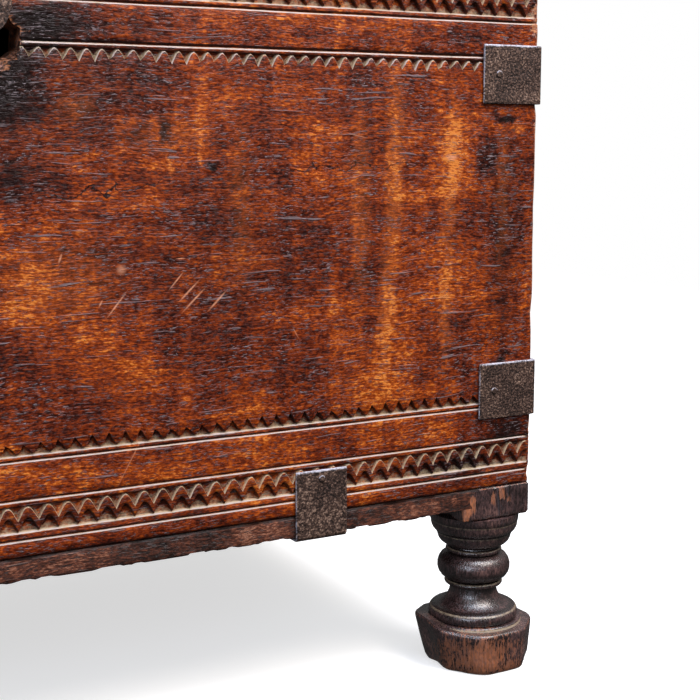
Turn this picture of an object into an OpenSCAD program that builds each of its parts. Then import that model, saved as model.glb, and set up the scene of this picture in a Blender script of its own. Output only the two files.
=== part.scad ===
// Wooden donation box: a boarded chest with carved bands on its front, on a
// low railed base with turned legs. Iron straps tie its corners and its base,
// and a hinged lid carries the coin slot and a hanging hasp.
// X runs across the front, Y from the front to the back, Z up from the floor.

/* [Box] */
// Width of the box over its side boards
box_w = 760; // [660:10:860]
// Depth of the box over its front and back boards
box_d = 440; // [380:10:520]
// Height of the boards
board_h = 348; // [300:2:400]
// Thickness of the front board
front_t = 22; // [19:0.5:26]
// Thickness of the back board
back_t = 20; // [17:0.5:24]
// Thickness of each side board
side_t = 20; // [17:0.5:24]
// Depth of the rebates that take the ends of the side boards
rebate = 8; // [5:0.5:11]
// Thickness of the bottom planks
bottom_t = 16; // [12:0.5:20]
// Gap between neighbouring planks, and round the bottom
plank_gap = 0.6; // [0.4:0.1:1.2]

/* [Carving] */
// Depth of the carved bands
carve_depth = 3; // [1.5:0.5:4.5]
// Distance of each zigzag band from the edge of the board
zigzag_inset = 14.5; // [8:0.5:20]
// Height of each zigzag band
zigzag_h = 15.5; // [12:0.5:20]
// Upright height of the zigzag rib's line
rib_h = 6; // [4:0.5:8]
// Length of one zigzag
zigzag_pitch = 11.6; // [9:0.1:15]
// Distance of each toothed band from the edge of the board
tooth_inset = 59.5; // [50:0.5:70]
// Height of the teeth
tooth_h = 6.5; // [4:0.5:9]
// Length of one tooth
tooth_pitch = 9.9; // [8:0.1:13]
// Height of the plain channel that the teeth point into, and room past the rib
channel = 1.5; // [1:0.5:2.5]

/* [Lock hole] */
// Width of the worn hole where the lock was
lock_hole_w = 56; // [48:1:64]
// Height of the worn hole
lock_hole_h = 36; // [30:1:42]
// Distance of the hole's lower edge below the top of the board
lock_hole_drop = 66; // [60:1:76]

/* [Base] */
// Thickness of the base rails
rail_t = 15; // [13.5:0.5:19]
// Thickness of the tenons on the rails
tenon_t = 7; // [5:0.5:9]
// Width of the tenons
tenon_w = 24; // [18:1:28]
// Clearance of a tenon in its mortise, on each side
tenon_fit = 0.2; // [0.1:0.05:0.4]
// Side of the square head of each leg, and width of the rails between the heads
head_w = 56; // [50:1:62]
// Height of the head
head_h = 23; // [21:0.5:28]

/* [Legs] */
// Width of the octagonal foot over its flats
foot_w = 82; // [74:1:92]
// Height of the foot
foot_h = 29; // [20:1:36]
// Chamfer round the foot's edges
foot_chamfer = 4; // [2:0.5:6]
// Radius of the pad on the foot
pad_r = 34; // [31:0.5:36]
// Height of the pad
pad_h = 3; // [2:0.5:5]
// Radius of the bell over the pad
bell_r = 32; // [27:0.5:33]
// Height of the bell's upright part
bell_h = 7; // [4:0.5:10]
// Height of the cove from the bell to the neck
cove_h = 14; // [10:0.5:20]
// Radius of the neck
neck_r = 17.5; // [14:0.5:19]
// Height of the neck
neck_h = 2.5; // [2:0.5:6]
// Radius of the two rings round the bead
ring_r = 20.5; // [19.5:0.5:23]
// Height of each ring
ring_h = 4; // [3:0.5:6]
// Radius of the bead
bead_r = 25; // [23.5:0.5:30]
// Height of the bead
bead_h = 19.5; // [14:0.5:26]
// Radius of the cup under the head
cup_r = 30.5; // [26:0.5:34]
// Height of the cup's slope
cup_h = 20; // [14:0.5:26]
// Height of the cup's rim
rim_h = 6; // [4:0.5:9]

/* [Iron straps] */
// Thickness of the straps
strap_t = 2; // [1.5:0.25:3]
// Height of the corner straps
corner_strap_h = 38.5; // [30:0.5:48]
// Reach of the corner straps along each board
corner_strap_l = 45.5; // [40:0.5:60]
// Distance of the corner straps' middles from the top and bottom of the boards
corner_strap_inset = 68; // [60:1:84]
// Width of the straps that tie the base to the boards
base_strap_w = 37; // [28:1:46]
// Distance of those straps' middles from the sides of the box
base_strap_inset = 167; // [130:1:200]
// Height of those straps on the board
base_strap_rise = 29; // [24:1:36]
// Reach of those straps under the rails
base_strap_reach = 48; // [40:1:50]

/* [Lid] */
// Thickness of the lid planks
lid_t = 20; // [17:0.5:26]
// Overhang of the lid at the front and at the sides
lid_over = 4; // [2:0.5:8]
// Width of the battens under the lid
batten_w = 42; // [34:1:60]
// Thickness of the battens
batten_t = 18; // [15:0.5:24]
// Distance from the side of the box to the middle of the nearer batten
batten_inset = 120; // [80:5:130]
// Gap between the battens' ends and the boards
batten_gap = 8; // [5:1:20]

/* [Coin slot] */
// Length of the coin slot
slot_l = 76; // [50:1:90]
// Width of the coin slot
slot_w = 9; // [7:0.5:12]
// Length of the iron plate round the slot
plate_l = 132; // [116:1:150]
// Width of the plate
plate_w = 44; // [36:1:56]
// Thickness of the plate
plate_t = 2; // [1.5:0.25:3]

/* [Hinges] */
// Distance from the side of the box to the middle of the nearer hinge
hinge_inset = 165; // [160:5:190]
// Width of each hinge
hinge_w = 36; // [30:1:44]
// Thickness of the hinge straps
hinge_t = 2.5; // [2:0.25:3.5]
// Length of the strap on the lid
hinge_strap_l = 140; // [110:1:150]
// Height of the leaf on the back board
hinge_leaf_h = 74; // [60:1:96]
// Radius of the hinge knuckles
knuckle_r = 5; // [4.5:0.25:6.5]
// Radius of the hinge pins
pin_r = 2.2; // [1.8:0.1:2.6]

/* [Hasp] */
// Width of the hasp and of its leaf
hasp_w = 46; // [38:1:52]
// Thickness of the hasp
hasp_t = 3; // [2:0.25:3.5]
// Length of the hasp below its pin
hasp_l = 77; // [68:1:90]
// Length of the leaf on the lid
hasp_leaf_l = 70; // [56:1:100]
// Thickness of the leaf
hasp_leaf_t = 2.5; // [2:0.25:3]
// Radius of the hasp knuckles
hasp_knuckle_r = 4.5; // [4:0.25:5.5]
// Radius of the hasp pin
hasp_pin_r = 2; // [1.5:0.1:2.4]
// Width of the slot for the staple
staple_slot_w = 11; // [8:0.5:14]
// Length of the slot for the staple
staple_slot_l = 28; // [20:1:34]

/* [Nails] */
// Radius of the nails
nail_r = 1.5; // [1.2:0.1:1.8]
// Length of the nails that hold iron to wood
nail_l = 13; // [10:0.5:14]
// Length of the nails that hold plank to plank
long_nail_l = 28; // [25:0.5:30]
// Radius of the nail heads
nail_head_r = 2.9; // [2.4:0.1:3.8]
// Height of the nail heads
nail_head_h = 0.8; // [0.6:0.1:1.6]
// Distance of the nails from the free ends of the straps
nail_margin = 12; // [10:0.5:14]

/* [Hidden] */

$fn = 48;

// Clearances
nail_fit = 0.05;
pin_fit = 0.05;
knuckle_gap = 0.4;
leaf_edge_gap = 0.2;
pin_head_r = 1.3;
pin_head_l = 1.5;
cut = 1;

// Heights from the floor upwards
pad_z = foot_h;
bell_z = pad_z + pad_h;
cove_z = bell_z + bell_h;
neck_z = cove_z + cove_h;
lower_ring_z = neck_z + neck_h;
bead_z = lower_ring_z + ring_h;
upper_ring_z = bead_z + bead_h;
cup_z = upper_ring_z + ring_h;
rim_z = cup_z + cup_h;
head_z = rim_z + rim_h;
frame_top = head_z + head_h;
rail_z = frame_top - rail_t;
board_top = frame_top + board_h;
lid_top = board_top + lid_t;

// The box stands so that the middle of everything is at the origin
foot_reach = (foot_w - head_w) / 2;
front_reach = max(foot_reach, lid_over + knuckle_gap + 2 * hasp_knuckle_r);
back_reach = max(foot_reach, knuckle_gap + 2 * knuckle_r);
middle_y = (front_reach - back_reach) / 2;
face_y = middle_y - box_d / 2;
back_y = middle_y + box_d / 2;
side_x = box_w / 2;
batten_x = side_x - batten_inset;
hinge_x = side_x - hinge_inset;
lid_front_y = face_y - lid_over;
lid_d = box_d + lid_over;
lid_plank_d = (lid_d - 2 * plank_gap) / 3;
inner_d = box_d - front_t - back_t;
inner_w = box_w - 2 * side_t;
bottom_plank_d = (inner_d - 4 * plank_gap) / 3;
tenon_l = (head_w - tenon_w) / 2 - 1;

// Axes of the moving parts
hinge_y = back_y + knuckle_gap + knuckle_r;
hinge_z = board_top;
hasp_y = lid_front_y - knuckle_gap - hasp_knuckle_r;
hasp_z = lid_top + hasp_leaf_t - hasp_knuckle_r;

// Colours
wood = "#6e2f14";
dark_wood = "#2e211b";
plain_wood = "#7d5a3a";
iron = "#4a433c";

// Points of the worn outline of the lock hole, as shares of its width and height
lock_outline = [
    [-0.42, 0], [0.4, 0], [0.5, 0.12], [0.5, 0.45], [0.38, 0.75],
    [0.24, 1], [-0.2, 1], [-0.34, 0.8], [-0.5, 0.5], [-0.5, 0.1]
];

// ---- Placing ----

// Repeats its children at all four corners of the box, drawn for the front right one
module each_corner() {
    for (left = [0, 1], back = [0, 1])
        at_corner(left, back) children();
}

// Turns a piece drawn for the front right corner, with the middle of the box at
// y = 0, to the corner that is asked for
module at_corner(left, back) {
    translate([0, middle_y, 0])
        mirror([left, 0, 0])
        mirror([0, back, 0])
        children();
}

module both_sides(offset) {
    for (x = [-offset, offset])
        translate([x, 0, 0]) children();
}

// A nail with the underside of its head at the origin, driven along -Z
module nail(length) {
    rotate_extrude()
        polygon([[0, 0], [nail_head_r, 0], [0.7 * nail_head_r, 0.7 * nail_head_h], [0, nail_head_h]]);
    translate([0, 0, -length])
        cylinder(h = length + nail_head_h / 2, r = nail_r);
}

// The hole for such a nail, open above it
module nail_hole(length) {
    translate([0, 0, -length - nail_fit])
        cylinder(h = length + nail_fit + cut, r = nail_r + nail_fit);
}

// ---- Nail places: each repeats its children at the nails of one kind ----

module corner_strap_nail_places() {
    for (z = [frame_top + corner_strap_inset, board_top - corner_strap_inset])
        each_corner() {
            translate([side_x + nail_margin - corner_strap_l, -box_d / 2 - strap_t, z])
                rotate([90, 0, 0]) children();
            translate([side_x + strap_t, corner_strap_l - nail_margin - box_d / 2, z])
                rotate([0, 90, 0]) children();
        }
}

module base_strap_nail_places() {
    each_corner() translate([side_x - base_strap_inset, 0, 0]) {
        translate([0, -box_d / 2 - strap_t, frame_top + base_strap_rise - nail_margin / 2])
            rotate([90, 0, 0]) children();
        translate([0, base_strap_reach - nail_margin - box_d / 2, rail_z - strap_t])
            rotate([180, 0, 0]) children();
    }
}

module bottom_plank_nail_places() {
    both_sides(side_x - (side_t + head_w) / 2)
        for (i = [0:2])
            translate([0, bottom_plank_y(i) + bottom_plank_d / 2, frame_top + bottom_t])
                children();
}

module hinge_leaf_nail_places() {
    both_sides(hinge_x)
        for (drop = [2 * nail_margin, hinge_leaf_h - nail_margin])
            translate([0, back_y + hinge_t, hinge_z - drop])
                rotate([-90, 0, 0]) children();
}

module hinge_strap_nail_places() {
    both_sides(hinge_x)
        for (reach = [2 * nail_margin, hinge_strap_l / 2, hinge_strap_l - nail_margin])
            translate([0, back_y - reach, lid_top + hinge_t])
                children();
}

module batten_nail_places() {
    both_sides(batten_x)
        for (i = [0:2], side = [-1, 1])
            translate([side * batten_w / 4, lid_plank_y(i) + (0.5 + side * 0.25) * lid_plank_d, lid_top])
                children();
}

module coin_slot_nail_places() {
    for (x = [-1, 1], y = [-1, 1])
        translate([x * (plate_l - nail_margin) / 2, y * (plate_w - nail_margin) / 2 + middle_plank_y, lid_top + plate_t])
            children();
}

module hasp_leaf_nail_places() {
    for (reach = [2 * nail_margin, hasp_leaf_l - nail_margin])
        translate([0, lid_front_y + reach, lid_top + hasp_leaf_t])
            children();
}

// ---- Boards ----

// A zigzag line from one end of the box to the other, as points between two heights
function zigzag(low, high, pitch) =
    [for (i = [0:2 * ceil(box_w / pitch)]) [i * pitch / 2 - side_x, i % 2 == 0 ? low : high]];

function reversed(points) = [for (i = [len(points) - 1:-1:0]) points[i]];

// The part of a zigzag band that is cut away, flat, from the board's lower edge
module zigzag_band() {
    rib_low = zigzag_inset + channel / 2;
    rib_rise = zigzag_h - channel - rib_h;
    difference() {
        translate([-side_x - cut, zigzag_inset])
            square([box_w + 2 * cut, zigzag_h]);
        polygon(concat(
            zigzag(rib_low, rib_low + rib_rise, zigzag_pitch),
            reversed(zigzag(rib_low + rib_h, rib_low + rib_h + rib_rise, zigzag_pitch))));
    }
}

// The part of a toothed band that is cut away, flat, from the board's lower edge
module toothed_band() {
    tips = tooth_inset + channel;
    length = 2 * ceil(box_w / tooth_pitch) * tooth_pitch / 2;
    polygon(concat(
        [[length - side_x, tooth_inset], [-side_x, tooth_inset]],
        zigzag(tips, tips + tooth_h, tooth_pitch)));
}

// Both carved bands of one edge, cut into the face of the board from y = 0
module carved_bands() {
    translate([0, carve_depth, 0])
        rotate([90, 0, 0])
        linear_extrude(carve_depth + cut) {
            zigzag_band();
            toothed_band();
        }
}

module lock_hole() {
    translate([0, face_y + front_t + cut, board_top - lock_hole_drop])
        rotate([90, 0, 0])
        linear_extrude(front_t + 2 * cut)
        polygon([for (p = lock_outline) [p[0] * lock_hole_w, p[1] * lock_hole_h]]);
}

// A board across the box with rebates for the side boards, its outside at y = 0
module rebated_board(thickness) {
    difference() {
        translate([-side_x, 0, frame_top])
            cube([box_w, thickness, board_h]);
        for (left = [0, 1])
            mirror([left, 0, 0])
                translate([side_x - side_t, thickness - rebate, frame_top - cut])
                cube([side_t + cut, rebate + cut, board_h + 2 * cut]);
    }
}

module front_board() {
    color(wood) difference() {
        translate([0, face_y, 0]) rebated_board(front_t);
        translate([0, face_y, frame_top]) carved_bands();
        translate([0, face_y, board_top]) mirror([0, 0, 1]) carved_bands();
        lock_hole();
        corner_strap_nail_places() nail_hole(nail_l);
        base_strap_nail_places() nail_hole(nail_l);
    }
}

module back_board() {
    color(plain_wood) difference() {
        translate([0, back_y, 0]) mirror([0, 1, 0]) rebated_board(back_t);
        corner_strap_nail_places() nail_hole(nail_l);
        base_strap_nail_places() nail_hole(nail_l);
        hinge_leaf_nail_places() nail_hole(nail_l);
    }
}

module side_board(left) {
    color(wood) difference() {
        mirror([left, 0, 0])
            translate([side_x - side_t, face_y + front_t - rebate, frame_top])
            cube([side_t, inner_d + 2 * rebate, board_h]);
        corner_strap_nail_places() nail_hole(nail_l);
    }
}

function bottom_plank_y(i) = face_y + front_t + plank_gap + i * (bottom_plank_d + plank_gap);

module bottom_plank(i) {
    color(plain_wood) difference() {
        translate([plank_gap - inner_w / 2, bottom_plank_y(i), frame_top])
            cube([inner_w - 2 * plank_gap, bottom_plank_d, bottom_t]);
        bottom_plank_nail_places() nail_hole(long_nail_l);
    }
}

module bottom_plank_nails() {
    color(iron) bottom_plank_nail_places() nail(long_nail_l);
}

// ---- Base ----

// A rail along X between two heads that stand span apart, its outside at y = 0,
// with a tenon at each end. The play makes both tenons larger for their mortises.
module rail(span, play) {
    translate([-span / 2, 0, rail_z])
        cube([span, head_w, rail_t]);
    translate([-span / 2 - tenon_l - play, (head_w - tenon_w) / 2 - play, rail_z + (rail_t - tenon_t) / 2 - play])
        cube([span + 2 * (tenon_l + play), tenon_w + 2 * play, tenon_t + 2 * play]);
}

module front_rail_shape(play) {
    translate([0, face_y, 0]) rail(box_w - 2 * head_w, play);
}

module back_rail_shape(play) {
    translate([0, back_y, 0]) mirror([0, 1, 0]) rail(box_w - 2 * head_w, play);
}

module side_rail_shape(left, play) {
    mirror([left, 0, 0])
        translate([side_x, middle_y, 0])
        rotate([0, 0, 90])
        rail(box_d - 2 * head_w, play);
}

module front_rail() {
    color(dark_wood) difference() {
        front_rail_shape(0);
        base_strap_nail_places() nail_hole(nail_l);
        bottom_plank_nail_places() nail_hole(long_nail_l);
    }
}

module back_rail() {
    color(dark_wood) difference() {
        back_rail_shape(0);
        base_strap_nail_places() nail_hole(nail_l);
        bottom_plank_nail_places() nail_hole(long_nail_l);
    }
}

module side_rail(left) {
    color(dark_wood) difference() {
        side_rail_shape(left, 0);
        bottom_plank_nail_places() nail_hole(long_nail_l);
    }
}

// ---- Legs ----

arc_steps = 8;

function cove_points() = [
    for (i = [0:arc_steps])
        let (a = 90 * i / arc_steps)
        [neck_r + (bell_r - neck_r) * (1 - sin(a)), cove_z + cove_h * (1 - cos(a))]
];

function bead_points() = [
    for (i = [0:arc_steps])
        let (a = 180 * i / arc_steps - 90)
        [neck_r + (bead_r - neck_r) * cos(a), bead_z + bead_h * (1 + sin(a)) / 2]
];

// Half section of the turned part, from the top of the foot to the head
module turned_section() {
    polygon(concat(
        [[0, pad_z - cut], [pad_r, pad_z - cut], [pad_r, bell_z], [bell_r, bell_z]],
        cove_points(),
        [[neck_r, lower_ring_z], [ring_r, lower_ring_z], [ring_r, bead_z]],
        bead_points(),
        [[ring_r, upper_ring_z], [ring_r, cup_z], [neck_r, cup_z]],
        [[cup_r, rim_z], [cup_r, head_z], [0, head_z]]));
}

// The octagonal foot, with its corners worn round and its edges chamfered
module foot() {
    corner_r = (foot_w + foot_chamfer) / 2;
    intersection() {
        rotate([0, 0, 22.5])
            cylinder(h = foot_h, d = foot_w / cos(22.5), $fn = 8);
        rotate_extrude()
            polygon([
                [0, 0], [corner_r - foot_chamfer, 0], [corner_r, foot_chamfer],
                [corner_r, foot_h - foot_chamfer], [corner_r - foot_chamfer, foot_h], [0, foot_h]]);
    }
}

module leg(left, back) {
    color(dark_wood) difference() {
        at_corner(left, back)
            translate([side_x - head_w / 2, (head_w - box_d) / 2, 0]) {
                foot();
                rotate_extrude() turned_section();
                translate([-head_w / 2, -head_w / 2, head_z])
                    cube([head_w, head_w, head_h]);
            }
        front_rail_shape(tenon_fit);
        back_rail_shape(tenon_fit);
        side_rail_shape(left, tenon_fit);
    }
}

// ---- Iron straps ----

// An angle round the corner at the height that is asked for
module corner_strap(left, back, z) {
    color(iron) difference() {
        at_corner(left, back) {
            translate([side_x - corner_strap_l, -box_d / 2 - strap_t, z - corner_strap_h / 2])
                cube([corner_strap_l + strap_t, strap_t, corner_strap_h]);
            translate([side_x, -box_d / 2 - strap_t, z - corner_strap_h / 2])
                cube([strap_t, corner_strap_l + strap_t, corner_strap_h]);
        }
        corner_strap_nail_places() nail_hole(nail_l);
    }
}

module upper_strap(left, back) {
    corner_strap(left, back, board_top - corner_strap_inset);
}

module lower_strap(left, back) {
    corner_strap(left, back, frame_top + corner_strap_inset);
}

// An angle down the board and under the rail
module base_strap(left, back) {
    color(iron) difference() {
        at_corner(left, back)
            translate([side_x - base_strap_inset - base_strap_w / 2, -box_d / 2 - strap_t, rail_z - strap_t]) {
                cube([base_strap_w, strap_t, strap_t + rail_t + base_strap_rise]);
                cube([base_strap_w, base_strap_reach + strap_t, strap_t]);
            }
        base_strap_nail_places() nail_hole(nail_l);
    }
}

module corner_strap_nails() {
    color(iron) corner_strap_nail_places() nail(nail_l);
}

module base_strap_nails() {
    color(iron) base_strap_nail_places() nail(nail_l);
}

// ---- Hinges and hasp ----

// Knuckle 0, 1 or 2 of a hinge that is width wide, round the X axis. The play
// makes it fatter and longer, for the room that the other leaf leaves it.
module knuckle(i, width, radius, play) {
    length = (width - 2 * knuckle_gap) / 3;
    translate([i * (length + knuckle_gap) - width / 2 - play, 0, 0])
        rotate([0, 90, 0])
        cylinder(h = length + 2 * play, r = radius + play);
}

module pin_bore(width, radius) {
    translate([-width / 2 - cut, 0, 0])
        rotate([0, 90, 0])
        cylinder(h = width + 2 * cut, r = radius + pin_fit);
}

// A headed pin through all three knuckles
module pin(width, radius) {
    length = width / 2 + knuckle_gap;
    translate([-length - pin_head_l / 2, 0, 0])
        rotate([0, 90, 0])
        cylinder(h = 2 * length + pin_head_l, r = radius);
    for (side = [-1, 1])
        translate([side * (length + pin_head_l / 2) - pin_head_l / 2, 0, 0])
            rotate([0, 90, 0])
            cylinder(h = pin_head_l, r = radius + pin_head_r);
}

module at_hinge(left) {
    translate([(left ? -1 : 1) * hinge_x, hinge_y, hinge_z]) children();
}

// The hinge's leaf on the back board
module hinge_leaf(left) {
    color(iron) difference() {
        at_hinge(left) difference() {
            union() {
                translate([-hinge_w / 2, back_y - hinge_y, -hinge_leaf_h])
                    cube([hinge_w, hinge_t, hinge_leaf_h - leaf_edge_gap]);
                knuckle(1, hinge_w, knuckle_r, 0);
            }
            knuckle(0, hinge_w, knuckle_r, knuckle_gap);
            knuckle(2, hinge_w, knuckle_r, knuckle_gap);
            pin_bore(hinge_w, pin_r);
        }
        hinge_leaf_nail_places() nail_hole(nail_l);
    }
}

// The hinge's strap on top of the lid, bent down behind it
module hinge_strap(left) {
    color(iron) difference() {
        at_hinge(left) difference() {
            union() {
                translate([-hinge_w / 2, back_y - hinge_y, leaf_edge_gap])
                    cube([hinge_w, hinge_t, lid_t + hinge_t - leaf_edge_gap]);
                translate([-hinge_w / 2, back_y - hinge_y - hinge_strap_l, lid_t])
                    cube([hinge_w, hinge_strap_l + hinge_t, hinge_t]);
                knuckle(0, hinge_w, knuckle_r, 0);
                knuckle(2, hinge_w, knuckle_r, 0);
            }
            knuckle(1, hinge_w, knuckle_r, knuckle_gap);
            pin_bore(hinge_w, pin_r);
        }
        hinge_strap_nail_places() nail_hole(nail_l);
    }
}

module hinge_pin(left) {
    color(iron) at_hinge(left) pin(hinge_w, pin_r);
}

module hinge_leaf_nails() {
    color(iron) hinge_leaf_nail_places() nail(nail_l);
}

module hinge_strap_nails() {
    color(iron) hinge_strap_nail_places() nail(nail_l);
}

// The leaf on the lid that carries the hasp
module hasp_leaf() {
    color(iron) difference() {
        translate([0, hasp_y, hasp_z]) difference() {
            union() {
                translate([-hasp_w / 2, 0, hasp_knuckle_r - hasp_leaf_t])
                    cube([hasp_w, lid_front_y - hasp_y + hasp_leaf_l, hasp_leaf_t]);
                knuckle(1, hasp_w, hasp_knuckle_r, 0);
            }
            knuckle(0, hasp_w, hasp_knuckle_r, knuckle_gap);
            knuckle(2, hasp_w, hasp_knuckle_r, knuckle_gap);
            pin_bore(hasp_w, hasp_pin_r);
        }
        hasp_leaf_nail_places() nail_hole(nail_l);
    }
}

module hasp_leaf_nails() {
    color(iron) hasp_leaf_nail_places() nail(nail_l);
}

module hasp_pin() {
    color(iron) translate([0, hasp_y, hasp_z]) pin(hasp_w, hasp_pin_r);
}

// The hasp's flat outline below its pin, round-ended, with the slot for a staple
module hasp_outline() {
    end_r = hasp_w / 2;
    slot_end = hasp_l - end_r + staple_slot_w / 2;
    difference() {
        union() {
            translate([-end_r, end_r - hasp_l]) square([hasp_w, hasp_l - end_r]);
            translate([0, end_r - hasp_l]) circle(r = end_r);
        }
        translate([-staple_slot_w / 2, -slot_end])
            square([staple_slot_w, staple_slot_l]);
    }
}

module hasp() {
    color(iron) translate([0, hasp_y, hasp_z]) difference() {
        union() {
            translate([0, hasp_knuckle_r, 0])
                rotate([90, 0, 0])
                linear_extrude(hasp_t)
                hasp_outline();
            knuckle(0, hasp_w, hasp_knuckle_r, 0);
            knuckle(2, hasp_w, hasp_knuckle_r, 0);
        }
        knuckle(1, hasp_w, hasp_knuckle_r, knuckle_gap);
        pin_bore(hasp_w, hasp_pin_r);
    }
}

// ---- Lid ----

function lid_plank_y(i) = lid_front_y + i * (lid_plank_d + plank_gap);

middle_plank_y = lid_plank_y(1) + lid_plank_d / 2;

module coin_slot() {
    translate([-slot_l / 2, middle_plank_y - slot_w / 2, board_top - cut])
        cube([slot_l, slot_w, lid_t + plate_t + 2 * cut]);
}

module lid_plank(i) {
    color(wood) difference() {
        translate([-side_x - lid_over, lid_plank_y(i), board_top])
            cube([box_w + 2 * lid_over, lid_plank_d, lid_t]);
        coin_slot();
        batten_nail_places() nail_hole(long_nail_l);
        coin_slot_nail_places() nail_hole(nail_l);
        hinge_strap_nail_places() nail_hole(nail_l);
        hasp_leaf_nail_places() nail_hole(nail_l);
    }
}

module lid_batten(left) {
    color(plain_wood) difference() {
        translate([
            (left ? -1 : 1) * batten_x - batten_w / 2,
            face_y + front_t + batten_gap, board_top - batten_t])
            cube([batten_w, inner_d - 2 * batten_gap, batten_t]);
        batten_nail_places() nail_hole(long_nail_l);
    }
}

module batten_nails() {
    color(iron) batten_nail_places() nail(long_nail_l);
}

module coin_slot_plate() {
    color(iron) difference() {
        translate([-plate_l / 2, middle_plank_y - plate_w / 2, lid_top])
            cube([plate_l, plate_w, plate_t]);
        coin_slot();
        coin_slot_nail_places() nail_hole(nail_l);
    }
}

module coin_slot_nails() {
    color(iron) coin_slot_nail_places() nail(nail_l);
}

front_board();
back_board();
side_board(1);  // left_side_board
side_board(0);  // right_side_board
bottom_plank(0);  // front_bottom_plank
bottom_plank(1);  // middle_bottom_plank
bottom_plank(2);  // back_bottom_plank
bottom_plank_nails();
front_rail();
back_rail();
side_rail(1);  // left_rail
side_rail(0);  // right_rail
leg(1, 0);  // front_left_leg
leg(0, 0);  // front_right_leg
leg(1, 1);  // back_left_leg
leg(0, 1);  // back_right_leg
upper_strap(1, 0);  // front_left_upper_strap
upper_strap(0, 0);  // front_right_upper_strap
upper_strap(1, 1);  // back_left_upper_strap
upper_strap(0, 1);  // back_right_upper_strap
lower_strap(1, 0);  // front_left_lower_strap
lower_strap(0, 0);  // front_right_lower_strap
lower_strap(1, 1);  // back_left_lower_strap
lower_strap(0, 1);  // back_right_lower_strap
base_strap(1, 0);  // front_left_base_strap
base_strap(0, 0);  // front_right_base_strap
base_strap(1, 1);  // back_left_base_strap
base_strap(0, 1);  // back_right_base_strap
corner_strap_nails();
base_strap_nails();
hinge_leaf(true);  // left_hinge_leaf
hinge_leaf(false);  // right_hinge_leaf
hinge_leaf_nails();
hinge_pin(true);  // left_hinge_pin
hinge_pin(false);  // right_hinge_pin
lid_plank(0);  // lid_front_plank
lid_plank(1);  // lid_middle_plank
lid_plank(2);  // lid_back_plank
lid_batten(true);  // left_lid_batten
lid_batten(false);  // right_lid_batten
batten_nails();
hinge_strap(true);  // left_hinge_strap
hinge_strap(false);  // right_hinge_strap
hinge_strap_nails();
coin_slot_plate();
coin_slot_nails();
hasp_leaf();
hasp_leaf_nails();
hasp_pin();
hasp();
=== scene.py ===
"""Look of the wooden donation box, built round its CAD frame.

Sizes are in millimetres and become metres when a mesh is made. X runs across the
front, Y from the front to the back and Z up from the floor.
"""

import logging
import math
from dataclasses import dataclass, field, replace
from enum import Enum
from functools import partial
from typing import Callable

import bmesh
import bpy
from mathutils import Euler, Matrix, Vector, noise


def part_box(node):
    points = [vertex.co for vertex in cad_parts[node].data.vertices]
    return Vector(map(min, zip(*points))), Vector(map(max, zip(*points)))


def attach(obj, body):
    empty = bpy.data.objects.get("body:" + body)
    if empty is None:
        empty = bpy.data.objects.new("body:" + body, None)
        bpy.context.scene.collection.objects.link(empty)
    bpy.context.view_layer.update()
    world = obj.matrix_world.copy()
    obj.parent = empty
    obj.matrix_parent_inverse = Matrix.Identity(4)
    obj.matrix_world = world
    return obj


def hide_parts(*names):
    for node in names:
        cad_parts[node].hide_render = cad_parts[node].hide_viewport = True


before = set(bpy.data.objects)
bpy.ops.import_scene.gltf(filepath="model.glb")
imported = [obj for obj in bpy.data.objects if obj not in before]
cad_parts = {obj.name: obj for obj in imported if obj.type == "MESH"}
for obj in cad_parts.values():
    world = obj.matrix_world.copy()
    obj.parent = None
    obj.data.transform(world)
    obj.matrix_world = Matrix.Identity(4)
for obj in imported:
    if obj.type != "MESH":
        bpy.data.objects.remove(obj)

MM = 0.001
LOG = logging.getLogger("donation_box")
Tree = bpy.types.NodeTree
Node = bpy.types.Node
Source = bpy.types.Node | bpy.types.NodeSocket  # a node stands for its first output
Pair = tuple[float, float]
Triple = tuple[float, float, float]
LIGHTEST_TONE = 0.92  # tone of the last colour of every ramp
WAX_IOR = 1.48  # of wax and oil, which is what covers the wood
ANY_DEPTH = 1e5  # so that a mark on the front reaches through the whole board
# A carved band's painted highlight and painted shade end at the same distance
CLEAN = 0.45  # distance from a carved band to where its dust ends
LEVEL = 0.8  # upward part of a normal from which dust lies on the surface
WELD = 1e-6  # metres within which the points of a CAD node are one
# Lengths of the waves of a face, of the wear along its arrises and of the small chips there
FACE_WAVE, WEAR_WAVE, CHIP_WAVE = 34.0, 17.0, 4.5
# Lengths of the bites and of the splinters along a ragged edge
BITE_WAVE, SPLINTER_WAVE = 11.0, 3.6


class Axis(Enum):
    """Axis of the box that the grain of a piece follows, as the turn that lays it along X."""

    X = (0.0, 0.0, 0.0)
    Y = (0.0, 0.0, math.pi / 2)
    Z = (0.0, math.pi / 2, 0.0)


class Body(Enum):
    """Bodies of the frame."""

    CHEST = "chest"
    LID = "lid"
    HASP = "hasp"


# ---- Nodes and colours ----


def linear(code: str) -> tuple[float, float, float, float]:
    """Turns an sRGB hex colour to linear.

    Args:
        code: Colour such as "#6b2a14".

    Returns:
        Linear red, green and blue, with an alpha of 1.
    """
    parts = (int(code[i : i + 2], 16) / 255 for i in (1, 3, 5))
    return (*((c / 12.92 if c <= 0.04045 else ((c + 0.055) / 1.055) ** 2.4) for c in parts), 1.0)


def add_node(tree: Tree, kind: str, settings: dict | None = None, links: dict | None = None) -> Node:
    """Adds one node.

    Args:
        tree: Tree that gets the node.
        kind: Blender's name for the kind of node.
        settings: Values by property name, or by name or number of the input.
        links: Sources by name or number of the input that they feed.

    Returns:
        The new node.
    """
    node = tree.nodes.new(kind)
    for key, value in (settings or {}).items():
        if isinstance(key, int) or key in node.inputs:
            node.inputs[key].default_value = value
        else:
            setattr(node, key, value)
    for key, source in (links or {}).items():
        tree.links.new(source.outputs[0] if isinstance(source, Node) else source, node.inputs[key])
    return node


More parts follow.
